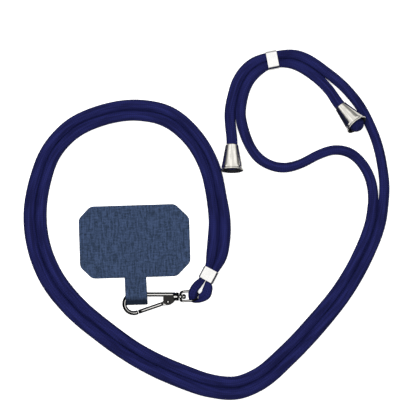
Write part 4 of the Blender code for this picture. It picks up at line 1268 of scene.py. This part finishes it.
world = bpy.data.worlds.new("studio")
bpy.context.scene.world = world
world.use_nodes = True
tree = world.node_tree
background = tree.nodes["Background"]
where = tree.nodes.new("ShaderNodeTexCoord").outputs["Generated"]
split = tree.nodes.new("ShaderNodeSeparateXYZ")
tree.links.new(where, split.inputs[0])
level = tree.nodes.new("ShaderNodeVectorMath")
level.operation = "MULTIPLY"
tree.links.new(where, level.inputs[0])
level.inputs[1].default_value = (1.0, 1.0, 0.0)
bearing = tree.nodes.new("ShaderNodeVectorMath")
bearing.operation = "NORMALIZE"
tree.links.new(level.outputs[0], bearing.inputs[0])


def towards(heading, low, high):
    """How nearly a direction of the room points to a heading: 1 past the cosine `high`, 0 under `low`."""
    dot = tree.nodes.new("ShaderNodeVectorMath")
    dot.operation = "DOT_PRODUCT"
    tree.links.new(bearing.outputs[0], dot.inputs[0])
    dot.inputs[1].default_value = (cos(heading), sin(heading), 0.0)
    return ranged(tree, dot.outputs["Value"], low, high, 0.0, 1.0)


height = split.outputs["Z"]
near_side = towards(NEAR_SIDE, 0.68, 0.82)
far_side = towards(FAR_SIDE, 0.05, 0.30)
left_side = towards(LEFT_SIDE, 0.86, 0.94)
belt_top = calc(tree, "ADD", BELT_HIGH, calc(tree, "MULTIPLY", near_side, BELT_RISE))
above = calc(tree, "DIVIDE", calc(tree, "SUBTRACT", height, belt_top), BELT_FADE)
above = calc(tree, "MINIMUM", calc(tree, "MAXIMUM", above, 0.0), 1.0)
below = ranged(tree, height, BELT_LOW - 0.08, BELT_LOW, 1.0, 0.0)
elsewhere = calc(tree, "SUBTRACT", 1.0, left_side)
below = calc(tree, "MULTIPLY", below, elsewhere)
belt = colour_mix(tree, calc(tree, "MULTIPLY", far_side, elsewhere), BELT_COLOUR, BELT_PALE)
mirrored = colour_mix(tree, below, belt, (FLOOR_SEEN,) * 3)
mirrored = colour_mix(tree, above, mirrored, (ROOM_WHITE,) * 3)
soft = ranged(tree, height, 0.0, 0.6, 0.0, 1.0)
path_kind = tree.nodes.new("ShaderNodeLightPath")
diffuse = colour_mix(tree, soft, (0.0, 0.0, 0.0), ROOM_SOFT)
room = colour_mix(tree, path_kind.outputs["Is Diffuse Ray"], mirrored, diffuse)
room = colour_mix(tree, path_kind.outputs["Is Camera Ray"], room, ROOM_SOFT)
tree.links.new(room, background.inputs["Color"])
background.inputs["Strength"].default_value = 1.0

PANEL_PLACE = Vector((-0.10, 0.35, 1.2))
PANEL_TARGET = Vector((0.04, 0.02, 0.0))
PANEL_SIZE = 0.9
PANEL_POWER = 12.0  # watts
light = bpy.data.lights.new("overhead_panel", "AREA")
light.shape = "SQUARE"
light.size = PANEL_SIZE
light.energy = PANEL_POWER
panel = bpy.data.objects.new("overhead_panel", light)
panel.location = PANEL_PLACE
panel.rotation_euler = (PANEL_TARGET - PANEL_PLACE).to_track_quat("-Z", "Y").to_euler()
panel.visible_camera = False
panel.visible_glossy = False
bpy.context.scene.collection.objects.link(panel)


# Fence. A low ring of black card stands round the hook, with a small flag over the left side of its bend.
# Only polish sees them: they draw the thick dark outlines of the hook's wires.
FENCE_CENTRE = (13.5 * MM, -39.0 * MM)
FENCE_RADIUS = 25.0 * MM
FENCE_FOOT = -0.5 * MM
FENCE_HEIGHT = 62.0 * MM
FENCE_SIDES = 48
FLAG_HEIGHT = 20.0 * MM
FLAG = ((-16.0, -52.0), (-3.0, -52.0), (-3.0, -31.0), (-16.0, -31.0))  # x and y in millimetres
fence_outline = arc(FENCE_CENTRE, FENCE_RADIUS, 0, 2 * pi, FENCE_SIDES)[:-1]
fence_bm = bmesh.new()
fence_rings = []
for z in (FENCE_FOOT, FENCE_HEIGHT):
    fence_rings.append([fence_bm.verts.new((x, y, z)) for x, y, _ in fence_outline])
fence_bm.faces.new(fence_rings[0])
fence_bm.faces.new([fence_bm.verts.new((x * MM, y * MM, FLAG_HEIGHT)) for x, y in FLAG])
for i in range(FENCE_SIDES):
    j = (i + 1) % FENCE_SIDES
    fence_bm.faces.new((fence_rings[0][i], fence_rings[0][j], fence_rings[1][j], fence_rings[1][i]))
fence_mesh = bpy.data.meshes.new("black_fence")
fence_bm.to_mesh(fence_mesh)
fence_bm.free()
fence = bpy.data.objects.new("black_fence", fence_mesh)
bpy.context.scene.collection.objects.link(fence)
fence_material, _, fence_shader = new_material("black card", Roughness=1.0, Specular_IOR_Level=0.0)
fence_shader.inputs["Base Color"].default_value = (0.01, 0.01, 0.012, 1)
fence_mesh.materials.append(fence_material)
fence.visible_camera = False
fence.visible_diffuse = False
fence.visible_shadow = False
fence.visible_transmission = False


# Picture. The colours are shown as they are lit.
scene = bpy.context.scene
scene.view_settings.view_transform = "Standard"
scene.view_settings.look = "None"
